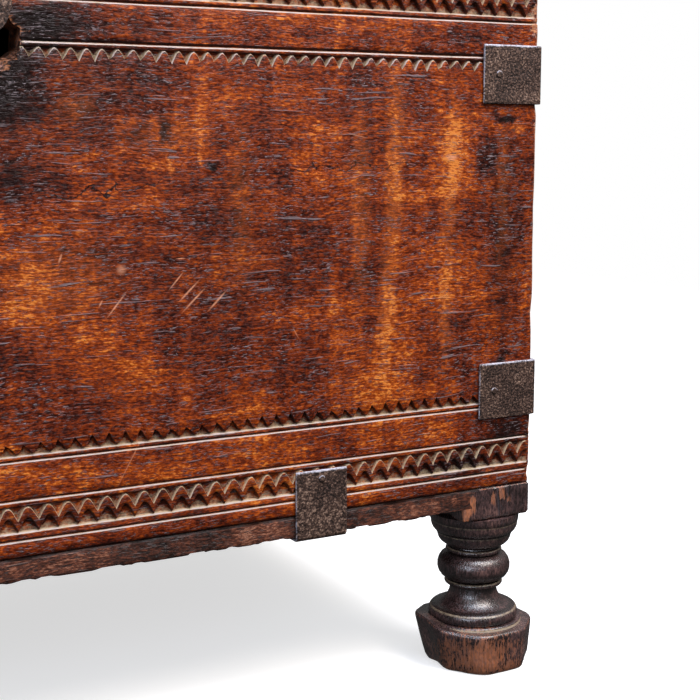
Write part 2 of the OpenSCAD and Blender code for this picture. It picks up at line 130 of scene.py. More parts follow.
def joined(tree: Tree, operation: str, masks: list[Source]) -> Source:
    """Joins masks one after another by the same operation.

    Args:
        tree: Tree of the material.
        operation: "MAXIMUM" for the strongest mask, "MULTIPLY" for where all of them show.
        masks: At least one mask.

    Returns:
        The joined mask.
    """
    made = masks[0]
    for mask in masks[1:]:
        made = add_node(tree, "ShaderNodeMath", {"operation": operation}, {0: made, 1: mask})
    return made


def weighted(tree: Tree, *parts: tuple[Source, float]) -> Source:
    """Adds masks up.

    Args:
        tree: Tree of the material.
        parts: Masks with their weights.

    Returns:
        Their weighted sum.
    """
    total = None
    for mask, weight in parts:
        links = {0: mask} if total is None else {0: mask, 2: total}
        total = add_node(tree, "ShaderNodeMath", {"operation": "MULTIPLY_ADD", 1: weight, 2: 0.0}, links)
    return total


def toned(tree: Tree, tone: Source, colours: tuple[str, ...], low: float) -> Node:
    """Turns a tone to colours that are spread evenly over it.

    Args:
        tree: Tree of the material.
        tone: The tone.
        colours: Hex colours, darkest first.
        low: Tone of the darkest colour.

    Returns:
        The colour.
    """
    ramp = add_node(tree, "ShaderNodeValToRGB", {}, {"Fac": tone})
    stops = ramp.color_ramp.elements
    while len(stops) < len(colours):
        stops.new(1.0)
    for i, colour in enumerate(colours):
        stops[i].position = low + (LIGHTEST_TONE - low) * i / (len(colours) - 1)
        stops[i].color = linear(colour)
    return ramp


def layered(tree: Tree, colour: Source, *layers: tuple[str, Source, float]) -> Source:
    """Lays colours over one another.

    Args:
        tree: Tree of the material.
        colour: Colour at the bottom.
        layers: Hex colour, mask and strength of each layer, upwards.

    Returns:
        The colour that results.
    """
    for shade, mask, share in layers:
        settings = {"data_type": "RGBA", 7: linear(shade)}
        mixed = add_node(tree, "ShaderNodeMix", settings, {0: weighted(tree, (mask, share)), 6: colour})
        colour = mixed.outputs[2]
    return colour


def shaken(
    tree: Tree, place: Source, scale: float, detail: float, reach: Triple, centred: bool = True
) -> Node:
    """Moves a place about by noise, so that what is drawn there gets a ragged edge.

    Args:
        tree: Tree of the material.
        place: The place in millimetres.
        scale: Waves of the noise in a millimetre.
        detail: Octaves of the noise.
        reach: How far the place moves along each axis.
        centred: Whether it moves both ways.

    Returns:
        The moved place.
    """
    settings = {"Scale": scale, "Detail": detail, "normalize": not centred}
    rough = add_node(tree, "ShaderNodeTexNoise", settings, {"Vector": place})
    links = {0: rough.outputs["Color"], 2: place}
    return add_node(tree, "ShaderNodeVectorMath", {"operation": "MULTIPLY_ADD", 1: reach}, links)


@dataclass(frozen=True)
class Streaks:
    """Noise drawn out along the grain.

    Args:
        length: Size along the grain.
        width: Size across the grain.
        low: Noise below this gives 0.
        high: Noise above this gives 1.
        detail: Octaves of the noise.
        twist: How far the streaks wind.
    """

    length: float
    width: float
    low: float = 0.3
    high: float = 0.7
    detail: float = 3.0
    twist: float = 0.0

    def mask(self, tree: Tree, place: Source) -> Node:
        """Adds the mask.

        Args:
            tree: Tree of the material.
            place: Place in millimetres, grain along X.

        Returns:
            Mask from 0 to 1.
        """
        spread = (1 / self.length, 1 / self.width, 1 / self.width)
        scaled = add_node(tree, "ShaderNodeVectorMath", {"operation": "MULTIPLY", 1: spread}, {0: place})
        noisy = {"Scale": 1.0, "Detail": self.detail, "Roughness": 0.6, "Distortion": self.twist}
        rough = add_node(tree, "ShaderNodeTexNoise", noisy, {"Vector": scaled})
        return add_node(
            tree,
            "ShaderNodeMapRange",
            {"interpolation_type": "SMOOTHSTEP", "From Min": self.low, "From Max": self.high},
            {"Value": rough},
        )


@dataclass(frozen=True)
class Patch:
    """Soft oval mark on the front of the box.

    Args:
        x: Middle across the box.
        z: Height of the middle.
        half_x: Half its width.
        half_z: Half its height.
        turn: Degrees that it leans.
        strength: How strong it is at its middle.
    """

    x: float
    z: float
    half_x: float
    half_z: float
    turn: float = 0.0
    strength: float = 1.0

    def mask(self, tree: Tree, place: Source) -> Node:
        """Adds the mark.

        Args:
            tree: Tree of the material.
            place: Place in millimetres.

        Returns:
            Mask from 0 to the strength.
        """
        oval = {
            "vector_type": "TEXTURE",
            "Location": (self.x, 0.0, self.z),
            "Rotation": (0.0, math.radians(self.turn), 0.0),
            "Scale": (self.half_x, ANY_DEPTH, self.half_z),
        }
        centred = add_node(tree, "ShaderNodeMapping", oval, {"Vector": place})
        reach = add_node(tree, "ShaderNodeVectorMath", {"operation": "LENGTH"}, {0: centred})
        return add_node(
            tree,
            "ShaderNodeMapRange",
            {"interpolation_type": "SMOOTHSTEP", "From Min": 1.0, "From Max": 0.15, "To Max": self.strength},
            {"Value": reach.outputs["Value"]},
        )


class Blank:
    """Material before its finish, with the places and the marks that a finish reads."""

    def __init__(self, name: str, settings: dict[str, float]) -> None:
        """Adds the material and its first nodes.

        Args:
            name: Name of the material.
            settings: Values of the shader's inputs by name.
        """
        self.material = bpy.data.materials.new(name)
        self.material.use_nodes = True
        self.tree = tree = self.material.node_tree
        self.surface = tree.nodes["Principled BSDF"]
        for socket, value in settings.items():
            self.surface.inputs[socket].default_value = value
        where = add_node(tree, "ShaderNodeTexCoord").outputs["Object"]
        self.spot = add_node(tree, "ShaderNodeMapping", {"Scale": (1 / MM,) * 3}, {"Vector": where})
        names = ("seed", "wear_and_highlight", "dust_and_painted_light")
        marks = [add_node(tree, "ShaderNodeAttribute", {"attribute_name": name}) for name in names]
        seed, self.wear_and_highlight, self.dust_and_painted_light = (mark.outputs["Fac"] for mark in marks)
        self.moved = add_node(tree, "ShaderNodeVectorMath", {"operation": "ADD"}, {0: self.spot, 1: seed})
        # Mask of painted shade where the dust mark is below 0: in recesses, under downward edges and in
        # joints; on the nails it also darkens the heads
        below_none = {"From Min": 0.0, "From Max": -1.0}
        self.shade_and_darkening = add_node(tree, "ShaderNodeMapRange", below_none, {"Value": self.dust_and_painted_light})

    def finish(
        self, colour: Source, roughness: float, dull: Source, height: Source, relief: float, depth: float
    ) -> bpy.types.Material:
        """Links a finish to the shader.

        Args:
            colour: Its colour.
            roughness: Roughness where nothing dulls it.
            dull: Added to the roughness.
            height: Its fine relief.
            relief: Strength of that relief.
            depth: Depth of that relief in millimetres.

        Returns:
            The material.
        """
        tree = self.tree
        duller = {"operation": "ADD", 1: roughness, "use_clamp": True}
        rough = add_node(tree, "ShaderNodeMath", duller, {0: dull}).outputs[0]
        fine = {"Strength": relief, "Distance": depth * MM}
        bump = add_node(tree, "ShaderNodeBump", fine, {"Height": height}).outputs[0]
        for socket, source in (("Base Color", colour), ("Roughness", rough), ("Normal", bump)):
            tree.links.new(source, self.surface.inputs[socket])
        return self.material


# ---- Finishes ----


# The pores of such wood are about 0.3 mm wide. They are drawn wider, so that they show.
PORE = Streaks(4.2, 0.7, 0.59, 0.67, 2, 0.6)
DRYING_CRACK = Streaks(42, 1.5, 0.655, 0.68, 2, 0.4)
FRAYED_FIBRE = Streaks(7, 0.9, 0.5, 0.62, 2, 0.5)


@dataclass(frozen=True)
class Wood:
    """Old waxed hardwood: a clouded colour, ripples across the grain, and open pores with painted glints.

    Args:
        name: Name of the material.
        tones: Hex colours from the darkest wood to the lightest.
        grain: Axis that the grain follows.
        raw: Colour of wood laid bare at worn edges.
        dirt: Colour of dust in corners.
        glint_and_fibre: Colour of the painted glints on the upward-facing edges of the pores, cracks and cut
            rims, and of frayed fibres on bare wood.
        pores: Strength of those painted glints and of the frayed fibres, 0 for none.
        roughness: Roughness of the wax.
        shine: How strongly the wax mirrors.
        stains: Dark marks.
        glows: Light marks.
        scratches: Thin pale marks.
        chips: Marks where the raw wood shows.
        relief: Strength of the fine relief.
    """

    name: str
    tones: tuple[str, ...]
    grain: Axis = Axis.X
    raw: str = "#a9673c"
    dirt: str = "#a8967a"
    glint_and_fibre: str = "#ab9c9f"
    pores: float = 1.0
    roughness: float = 0.4
    shine: float = 0.25
    stains: tuple[Patch, ...] = ()
    glows: tuple[Patch, ...] = ()
    scratches: tuple[Patch, ...] = ()
    chips: tuple[Patch, ...] = ()
    relief: float = 0.55

    def build(self) -> bpy.types.Material:
        """Builds the material.

        Returns:
            The material.
        """
        blank = Blank(self.name, {"IOR": WAX_IOR, "Specular IOR Level": self.shine})
        tree = blank.tree
        laid = add_node(tree, "ShaderNodeMapping", {"Rotation": self.grain.value}, {"Vector": blank.moved})
        place = shaken(tree, laid, 0.013, 2.0, (0.0, 10.0, 10.0), centred=False)
        mottle = Streaks(10, 4.5).mask(tree, place)
        fibre = Streaks(14, 1.25, 0.32, 0.68).mask(tree, place)
        fleck = Streaks(3.0, 1.15, 0.35, 0.65).mask(tree, place)
        pores = PORE.mask(tree, place)
        tone, colour = self._clouds(blank, place, (mottle, 0.14), (fibre, 0.18), (fleck, 0.29))
        colour = self._pores(tree, place, pores, tone, colour)
        if self.scratches:
            scratched = joined(tree, "MAXIMUM", [patch.mask(tree, blank.spot) for patch in self.scratches])
            colour = layered(tree, colour, ("#c98a6a", scratched, 0.75))
        bare = self._bare(blank, (mottle, 0.22), (fleck, 0.28), (fibre, 0.3))
        frayed = FRAYED_FIBRE.mask(tree, place)
        colour = layered(
            tree,
            colour,
            (self.raw, bare, 1.0),
            (self.tones[1], joined(tree, "MULTIPLY", [bare, fleck]), 0.6),
            (self.glint_and_fibre, joined(tree, "MULTIPLY", [bare, frayed]), 0.45 * self.pores),
        )
        colour, lying = self._lay_dust_and_painted_light(blank, colour)
        dull = weighted(tree, (fleck, 0.1), (bare, 0.3), (lying, 0.25))
        dents = Streaks(18, 12, detail=2).mask(tree, place)
        height = weighted(tree, (fibre, 0.3), (pores, -1.0), (fleck, 0.35), (dents, 1.0), (bare, -0.6))
        return blank.finish(colour, self.roughness, dull, height, self.relief, 0.6)

    def _clouds(self, blank: Blank, place: Source, *fine: tuple[Source, float]) -> tuple[Source, Source]:
        """Colours the wood, from broad clouds and marks down to its fine fibres.

        Args:
            blank: The material.
            place: Place with the grain along X.
            fine: Masks of the fine figure with their weights.

        Returns:
            The tone from dark to light, and the colour.
        """
        tree = blank.tree
        broad = (
            (Streaks(75, 55, 0.33, 0.67, 4), 0.24),
            (Streaks(120, 10, detail=4), 0.14),
            (Streaks(9, 150, detail=2), 0.13),
        )
        ragged = shaken(tree, blank.spot, 0.12, 4.0, (4.5, 0.0, 4.5))
        marks = []
        light, dark = (self.glows, 0.26, "#b56f3c", 0.2), (self.stains, -0.4, "#0d0a0a", 0.8)
        for patches, weight, shade, share in (light, dark):
            if patches:
                mask = joined(tree, "MAXIMUM", [patch.mask(tree, ragged) for patch in patches])
                marks.append((mask, weight, shade, share))
        parts = [(streaks.mask(tree, place), weight) for streaks, weight in broad]
        tone = weighted(tree, *parts, *fine, *((mask, weight) for mask, weight, _, _ in marks))
        colour = toned(tree, tone, self.tones, 0.22)
        return tone, layered(tree, colour, *((shade, mask, share) for mask, _, shade, share in marks))

    def _pores(self, tree: Tree, place: Source, pores: Source, tone: Source, colour: Source) -> Source:
        """Draws the pores and the drying cracks dark, each with a painted glint along its lower,
        upward-facing edge.

        Args:
            tree: Tree of the material.
            place: Place with the grain along X.
            pores: Mask of the pores.
            tone: Tone of the wood; the painted glints show on its dark parts.
            colour: Colour of the wood.

        Returns:
            The colour that results.
        """
        # Painted glint: a pale streak 0.4 mm below each pore and crack, on the edge that faces up
        glint_place = add_node(tree, "ShaderNodeVectorMath", {"operation": "ADD", 1: (0.0, 0.0, -0.4)}, {0: place})
        crowd = Streaks(45, 18, high=0.6, detail=2).mask(tree, place)
        darker = {"From Min": 0.7, "From Max": 0.3, "To Min": 0.4}
        dark = add_node(tree, "ShaderNodeMapRange", darker, {"Value": tone})
        return layered(
            tree,
            colour,
            (self.tones[0], pores, 0.85),
            (self.glint_and_fibre, joined(tree, "MULTIPLY", [dark, crowd, PORE.mask(tree, glint_place)]), 0.58 * self.pores),
            (self.tones[0], DRYING_CRACK.mask(tree, place), 0.8),
            (self.glint_and_fibre, DRYING_CRACK.mask(tree, glint_place), 0.3 * self.pores),
        )

    def _bare(self, blank: Blank, *fine: tuple[Source, float]) -> Node:
        """Finds where the wood is worn or chipped bare.

        Args:
            blank: The material.
            fine: Masks that fray the edge of the bare places, with their weights.

        Returns:
            Mask of the bare wood.
        """
        tree, worn = blank.tree, [blank.wear_and_highlight]
        if self.chips:
            crumbled = shaken(tree, blank.spot, 0.45, 3.0, (3.5, 0.0, 3.5))
            worn.append(joined(tree, "MAXIMUM", [patch.mask(tree, crumbled) for patch in self.chips]))
        return add_node(
            tree,
            "ShaderNodeMapRange",
            {"interpolation_type": "SMOOTHSTEP", "From Min": 0.9, "From Max": 1.25},
            {"Value": weighted(tree, (joined(tree, "MAXIMUM", worn), 1.0), *fine)},
        )

    def _lay_dust_and_painted_light(self, blank: Blank, colour: Source) -> tuple[Source, Node]:
        """Paints shade into the recesses, lays dust in the corners and paints a highlight on the
        upward-facing edges of the cuts.

        Args:
            blank: The material.
            colour: Colour of the wood.

        Returns:
            The colour that results, and the mask of the dust.
        """
        tree = blank.tree
        grains = Streaks(1.6, 1.6, 0.2, 0.8).mask(tree, blank.spot)
        lying = add_node(
            tree,
            "ShaderNodeMapRange",
            {"From Min": 0.35, "From Max": 0.9, "To Max": 0.9},
            {"Value": weighted(tree, (blank.dust_and_painted_light, 1.0), (grains, 0.4))},
        )
        # Painted highlight: the glint colour where the mark is above 0.7
        highlight_range = {"From Min": 0.7, "From Max": 0.98}
        rim = add_node(tree, "ShaderNodeMapRange", highlight_range, {"Value": blank.dust_and_painted_light})
        # Near-black painted shade in the recesses, then the dust, then the painted highlight
        layers = (("#120a08", blank.shade_and_darkening, 0.85), (self.dirt, lying, 1.0), (self.glint_and_fibre, rim, 0.75))
        return layered(tree, colour, *layers), lying


@dataclass(frozen=True)
class Iron:
    """Forged iron gone brown, mottled with fine rust.

    Args:
        name: Name of the material.
        tones: Hex colours from the darkest iron to the lightest speck.
        roughness: Roughness of the skin.
    """

    name: str
    tones: tuple[str, ...]
    roughness: float = 0.5

    def build(self) -> bpy.types.Material:
        """Builds the material.

        Returns:
            The material.
        """
        blank = Blank(self.name, {"Metallic": 0.2, "Specular IOR Level": 0.3})
        tree, place = blank.tree, blank.moved
        # Grains of rust are finer than this. They are drawn as coarse as they need to show.
        speck = Streaks(1.6, 1.4, 0.4, 0.64, 2).mask(tree, place)
        grit = Streaks(1.1, 1.1, 0.35, 0.65, 2).mask(tree, place)
        rust = Streaks(14, 14, 0.35, 0.65, 4).mask(tree, place)
        colour = toned(tree, weighted(tree, (speck, 0.44), (grit, 0.34), (rust, 0.22)), self.tones, 0.12)
        # Pale worn iron along the arrises; on the straps' upper edges and left sides and on the upper rims
        # of the nails this paleness is a painted highlight
        rubbed_and_highlit = add_node(
            tree,
            "ShaderNodeMapRange",
            {"From Min": 0.65, "From Max": 1.3},
            {"Value": weighted(tree, (blank.wear_and_highlight, 1.0), (grit, 0.4))},
        )
        # Then near-black painted shade under each nail's rim; the same layer darkens the rest of each nail
        # head
        colour = layered(tree, colour, ("#b4b2bc", rubbed_and_highlit, 0.85), ("#0b0807", blank.shade_and_darkening, 0.9))
        height = weighted(tree, (speck, 0.6), (grit, 0.2), (Streaks(8, 8).mask(tree, place), 1.2))
        return blank.finish(colour, self.roughness, weighted(tree, (speck, 0.2)), height, 0.6, 0.4)


# ---- Shells ----


@dataclass
class Shell:
    """Points in millimetres and the faces between them.

    Args:
        points: The points.
        faces: Numbers of the points round each face.
        dust_and_painted_light: Mark at each point: dust above 0, with a painted highlight above 0.7; painted
            shade below 0, darkest at -1.
        wear_and_highlight: Wear at each point, from 0 to 1; on the iron it also carries painted highlights.
    """

    points: list[Vector] = field(default_factory=list)
    faces: list[tuple[int, ...]] = field(default_factory=list)
    dust_and_painted_light: list[float] = field(default_factory=list)
    wear_and_highlight: list[float] = field(default_factory=list)

    def point(self, place: Vector, dust_and_painted_light: float = 0.0, wear_and_highlight: float = 0.0) -> int:
        """Adds a point.

        Args:
            place: Where it lies.
            dust_and_painted_light: Dust on it; painted shade below 0 and a painted highlight above 0.7.
            wear_and_highlight: Wear at it; on iron also a painted highlight.

        Returns:
            Its number.
        """
        self.points.append(place)
        self.dust_and_painted_light.append(dust_and_painted_light)
        self.wear_and_highlight.append(wear_and_highlight)
        return len(self.points) - 1

    def join(self, other: "Shell") -> None:
        """Adds another shell to this one.

        Args:
            other: The other shell.
        """
        start = len(self.points)
        self.points += other.points
        self.dust_and_painted_light += other.dust_and_painted_light
        self.wear_and_highlight += other.wear_and_highlight
        self.faces += [tuple(i + start for i in face) for face in other.faces]

    def tube(self, rings: list[list[int]]) -> None:
        """Joins closed rings of points, each to the next, with a band of faces.

        Args:
            rings: Numbers of the points round each ring.
        """
        for first, second in zip(rings, rings[1:]):
            for i, start in enumerate(first):
                j = (i + 1) % len(first)
                self.faces.append((start, first[j], second[j], second[i]))

    def mesh(self, name: str) -> bpy.types.Mesh:
        """Makes the mesh, in metres, with its marks as attributes and its faces turned outwards.

        Args:
            name: Name of the mesh.

        Returns:
            The mesh.
        """
        mesh = bpy.data.meshes.new(name)
        mesh.from_pydata([p * MM for p in self.points], [], self.faces)
        for mark in ("dust_and_painted_light", "wear_and_highlight"):
            attribute = mesh.attributes.new(mark, "FLOAT", "POINT")
            attribute.data.foreach_set("value", getattr(self, mark))
        welded = bmesh.new()
        welded.from_mesh(mesh)
        bmesh.ops.remove_doubles(welded, verts=welded.verts, dist=1e-7)
        bmesh.ops.recalc_face_normals(welded, faces=welded.faces)
        welded.to_mesh(mesh)
        welded.free()
        return mesh


def evaluated_mesh(item: bpy.types.Object) -> bpy.types.Mesh:
    """Plain mesh that an object's modifiers make."""
    bpy.context.view_layer.update()
    return bpy.data.meshes.new_from_object(item.evaluated_get(bpy.context.evaluated_depsgraph_get()))


def wobble(place: Vector, size: float, seed: float = 0.0) -> float:
    """Smooth noise from -1 to 1 over lengths of the given size."""
    return noise.noise(place / size + Vector((seed, 1.7 * seed, -seed)))


def add_piece(
    name: str,
    mesh: bpy.types.Mesh,
    material: bpy.types.Material,
    body: Body,
    stands_for: tuple[str, ...],
    seed: float = 0.0,
    crease: float = 38.0,
) -> bpy.types.Object:
    """Puts a finished piece in the scene in place of its CAD nodes.

    Args:
        name: Name of the piece.
        mesh: Its mesh, in metres.
        material: Its finish.
        body: Body that it moves with.
        stands_for: CAD nodes that it replaces.
        seed: Shift of its pattern, in millimetres.
        crease: Angle in degrees past which an edge stays sharp.

    Returns:
        The object.
    """
    mesh.materials.clear()
    mesh.materials.append(material)
    mesh.shade_smooth()
    mesh.set_sharp_from_angle(angle=math.radians(crease))
    marks = mesh.attributes
    for mark in ("dust_and_painted_light", "wear_and_highlight"):
        if mark not in marks:
            marks.new(mark, "FLOAT", "POINT")
    seeds = marks.new("seed", "FLOAT", "POINT")
    seeds.data.foreach_set("value", [seed] * len(mesh.vertices))
    piece = bpy.data.objects.new(name, mesh)
    bpy.context.scene.collection.objects.link(piece)
    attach(piece, body.value)
    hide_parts(*stands_for)
    LOG.info("%s: %d faces", name, len(mesh.polygons))
    return piece


def node_box(node: str) -> tuple[Vector, Vector]:
    """Lowest and highest corner of a CAD node, in millimetres."""
    low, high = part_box(node)
    return low / MM, high / MM


def cuts(length: float, step: float, round_off: float) -> list[float]:
    """Places along one side of a block, close together at its rounded ends.

    Args:
        length: Length of the side.
        step: Length of the cells between the rounded ends.
        round_off: Radius of the rounded ends.

    Returns:
        The places, from 0 to the length.
    """
    count = max(1, round((length - 2 * round_off) / step))
    inner = [round_off + (length - 2 * round_off) * i / count for i in range(count + 1)]
    return [0.0, 0.3 * round_off, *inner, length - 0.3 * round_off, length]


@dataclass(frozen=True)
class Block:
    """Straight-edged block whose arrises are rounded and worn.

    Args:
        low: Lowest corner.
        high: Highest corner.
        round_off: Radius of its arrises.
        step: Length of its faces' cells.
        lumps: How far its surface wanders inwards.
        edge_wear: How far its arrises are worn back in places.
        seed: Seed of the noise.
        dust_and_shade_above: Dust on its upper faces; below 0, painted shade on its upper faces and its ends
            instead, where it meets other parts.
        bare_edge: Wear along its arrises.
        ragged: How far its lower side is chipped away in places.
    """

    low: Vector
    high: Vector
    round_off: float = 1.5
    step: float = 14.0
    lumps: float = 0.4
    edge_wear: float = 1.2
    seed: float = 0.0
    dust_and_shade_above: float = 0.0
    bare_edge: float = 0.5
    ragged: float = 0.0

    def build(self, bend: Callable[[Vector], Vector] | None = None) -> Shell:
        """Builds the block.

        Args:
            bend: Moves each finished point, for a bent block.

        Returns:
            The closed shell.
        """
        size = self.high - self.low
        radii = [min(self.round_off, size[a] / 3) for a in range(3)]
        sides = [cuts(size[a], self.step, radii[a]) for a in range(3)]
        last = [len(side) - 1 for side in sides]
        shell = Shell()
        known: dict[tuple[int, int, int], int] = {}

        def at(cell: tuple[int, int, int]) -> int:
            """Finds the point at one corner of the cells, and adds it when it is first met.

            Args:
                cell: Number of the corner along each axis.

            Returns:
                Number of its point.
            """
            if cell not in known:
                local = Vector(sides[a][cell[a]] for a in range(3))
                known[cell] = self._place(shell, local, size, radii, bend)
            return known[cell]

        for a in range(3):
            b, c = (a + 1) % 3, (a + 2) % 3
            for end in (0, last[a]):
                for i in range(last[b]):
                    for j in range(last[c]):
                        corners = []
                        for di, dj in ((0, 0), (1, 0), (1, 1), (0, 1)):
                            cell = [0, 0, 0]
                            cell[a], cell[b], cell[c] = end, i + di, j + dj
                            corners.append(at(tuple(cell)))
                        shell.faces.append(tuple(corners if end else reversed(corners)))
        return shell

    def _place(
        self,
        shell: Shell,
        local: Vector,
        size: Vector,
        radii: list[float],
        bend: Callable[[Vector], Vector] | None,
    ) -> int:
        """Adds one rounded and worn point.

        Args:
            shell: Shell that gets the point.
            local: Its place in the block before the wear.
            size: Size of the block.
            radii: Radius of the arrises along each axis.
            bend: Moves the finished point.

        Returns:
            Its number.
        """
        core = Vector(min(max(local[a], radii[a]), size[a] - radii[a]) for a in range(3))
        out = local - core
        at_edge = sum(1 for a in range(3) if abs(out[a]) > 1e-6) > 1
        reach = max(abs(v) for v in out)
        out = out.normalized() if out.length >= 1e-6 else Vector()
        spot = core + out * reach
        world = spot + self.low
        worn = self.lumps * (0.5 + 0.5 * wobble(world, FACE_WAVE, self.seed))
        wear_and_highlight = 0.0
        if at_edge:
            worn += self.edge_wear * max(0.0, wobble(world, WEAR_WAVE, self.seed + 5.0) + 0.1)
            worn += 0.4 * self.edge_wear * max(0.0, wobble(world, CHIP_WAVE, self.seed + 9.0))
            wear_and_highlight = min(1.0, self.bare_edge + worn / (self.edge_wear + self.lumps + 0.01) * 0.6)
        place = spot - out * worn + self.low
        dust_and_painted_light = self.dust_and_shade_above if out.z > LEVEL else 0.0
        if self.ragged and out.z < -0.2:
            splinters = 0.7 * wobble(world, SPLINTER_WAVE, self.seed)
            chipped = max(0.0, wobble(world, BITE_WAVE, self.seed) + splinters + 0.1)
            place.z += self.ragged * chipped
            wear_and_highlight = min(1.0, wear_and_highlight + 1.2 * chipped)
        long = max(range(3), key=lambda a: size[a])
        # Below 0: painted shade on the upper faces and on the ends, where the block meets other parts, and
        # no wear there
        if self.dust_and_shade_above < 0 and (out.z > 0.2 or abs(out[long]) > 0.2):
            dust_and_painted_light, wear_and_highlight = self.dust_and_shade_above, 0.0
        return shell.point(bend(place) if bend else place, dust_and_painted_light, wear_and_highlight)


def softened(node: str, bevel: float, dust_and_shade_above: float = 0.0) -> bpy.types.Mesh:
    """Copies a CAD node with its edges broken.

    Args:
        node: The CAD node.
        bevel: Width of the broken edges in millimetres.
        dust_and_shade_above: Dust on its upper faces.

    Returns:
        The new mesh.
    """
    soft = bmesh.new()
    soft.from_mesh(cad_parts[node].data)
    wear_and_highlight = soft.verts.layers.float.new("wear_and_highlight")
    dust_and_painted_light = soft.verts.layers.float.new("dust_and_painted_light")
    bmesh.ops.remove_doubles(soft, verts=soft.verts, dist=WELD)
    bmesh.ops.dissolve_limit(soft, angle_limit=0.01, verts=soft.verts, edges=soft.edges)
    sharp = [e for e in soft.edges if len(e.link_faces) == 2 and e.calc_face_angle() > 0.6]
    made = bmesh.ops.bevel(
        soft, geom=sharp, offset=bevel * MM, segments=2, affect="EDGES", clamp_overlap=True
    )
    mesh = bpy.data.meshes.new(node)
    broken = set(made["faces"])
    for vert in made["verts"]:
        vert[wear_and_highlight] = 0.8 if all(face in broken for face in vert.link_faces) else 0.0
    for vert in soft.verts:
        vert.normal_update()
        if vert.normal.z > LEVEL:
            vert[dust_and_painted_light] = dust_and_shade_above
    soft.to_mesh(mesh)
    soft.free()
    return mesh


# ---- Front board ----


# In a row, the dust of a point also carries painted light: painted shade below 0 and a painted highlight
# above 0.7
Row = list[tuple[float, float, float, float]]  # place across, height, depth and dust of each point
CAP = 3.2  # distance from the end of the board within which a row is rounded
STOP = 4.0  # distance from the end of the board at which the carving has run out
FADE = 5.0  # length over which it runs out
DEEPEST = 5.0  # nothing on the front is cut deeper than this


def strip(shell: Shell, first: list[int], second: list[int], along: Callable[[int], float]) -> None:
    """Joins two rows of points with faces, each time stepping on along the row that lags.

    Args:
        shell: The shell that holds the points.
        first: Numbers of the first row's points.
        second: Numbers of the second row's points.
        along: Gives how far along its row a point lies.
    """
    i = j = 0
    while i < len(first) - 1 or j < len(second) - 1:
        next_first = along(first[i + 1]) if i < len(first) - 1 else math.inf
        next_second = along(second[j + 1]) if j < len(second) - 1 else math.inf
        if abs(next_first - next_second) < 1e-4:
            shell.faces.append((first[i], first[i + 1], second[j + 1], second[j]))
            i += 1
            j += 1
        elif next_first <= next_second:
            shell.faces.append((first[i], first[i + 1], second[j]))
            i += 1
        else:
            shell.faces.append((first[i], second[j + 1], second[j]))
            j += 1


# Half of one tooth: share of its length and of its height, blunt at the bottom and sharp at the top
BLUNT_FOOT = ((0.0, 0.0), (0.1, 0.07), (0.2, 0.25), (0.3, 0.5), (0.4, 0.78))
# The same with a sharp bottom and a blunt top
BLUNT_HEAD = ((0.0, 0.0), (0.1, 0.26), (0.2, 0.54), (0.3, 0.78), (0.4, 0.94))


@dataclass(frozen=True)
class Carving:
    """Bands cut into the front board. Heights run upwards from the board's lower edge.

    Args:
        depth: Depth of the bands.
        rim: Depth of the rounded rim along a band.
        zigzags: Lower and upper edge of each band with a zigzag rib.
        zigzag_pitch: Length of one zigzag.
        rib: Upright height of the rib.
        teeth: Lower and upper edge of each toothed band.
        tooth_pitch: Length of one tooth of each toothed band.
        grooves: Lower and upper edge of each groove.
        plain: Heights of the rows between the bands.
        panel: Height of the panel's lowest row, distance between its rows, and their number.
    """

    depth: float = 2.8
    rim: float = 0.25
    zigzags: tuple[Pair, ...] = ((14.5, 30.5), (317.0, 332.8))
    zigzag_pitch: float = 11.7
    rib: float = 6.0
    teeth: tuple[Pair, ...] = ((59.4, 67.8), (280.6, 288.4))
    tooth_pitch: Pair = (9.95, 9.2)
    grooves: tuple[Pair, ...] = (
        (9.4, 11.0),
        (32.9, 34.6),
        (56.0, 57.5),
        (290.2, 292.3),
        (313.0, 314.8),
        (335.0, 336.6),
    )
    plain: tuple[float, ...] = (2.0, 6.0, 38.0, 45.0, 52.0, 296.0, 302.0, 309.0, 340.0, 345.0)
    panel: tuple[float, float, int] = (71.0, 12.15, 18)


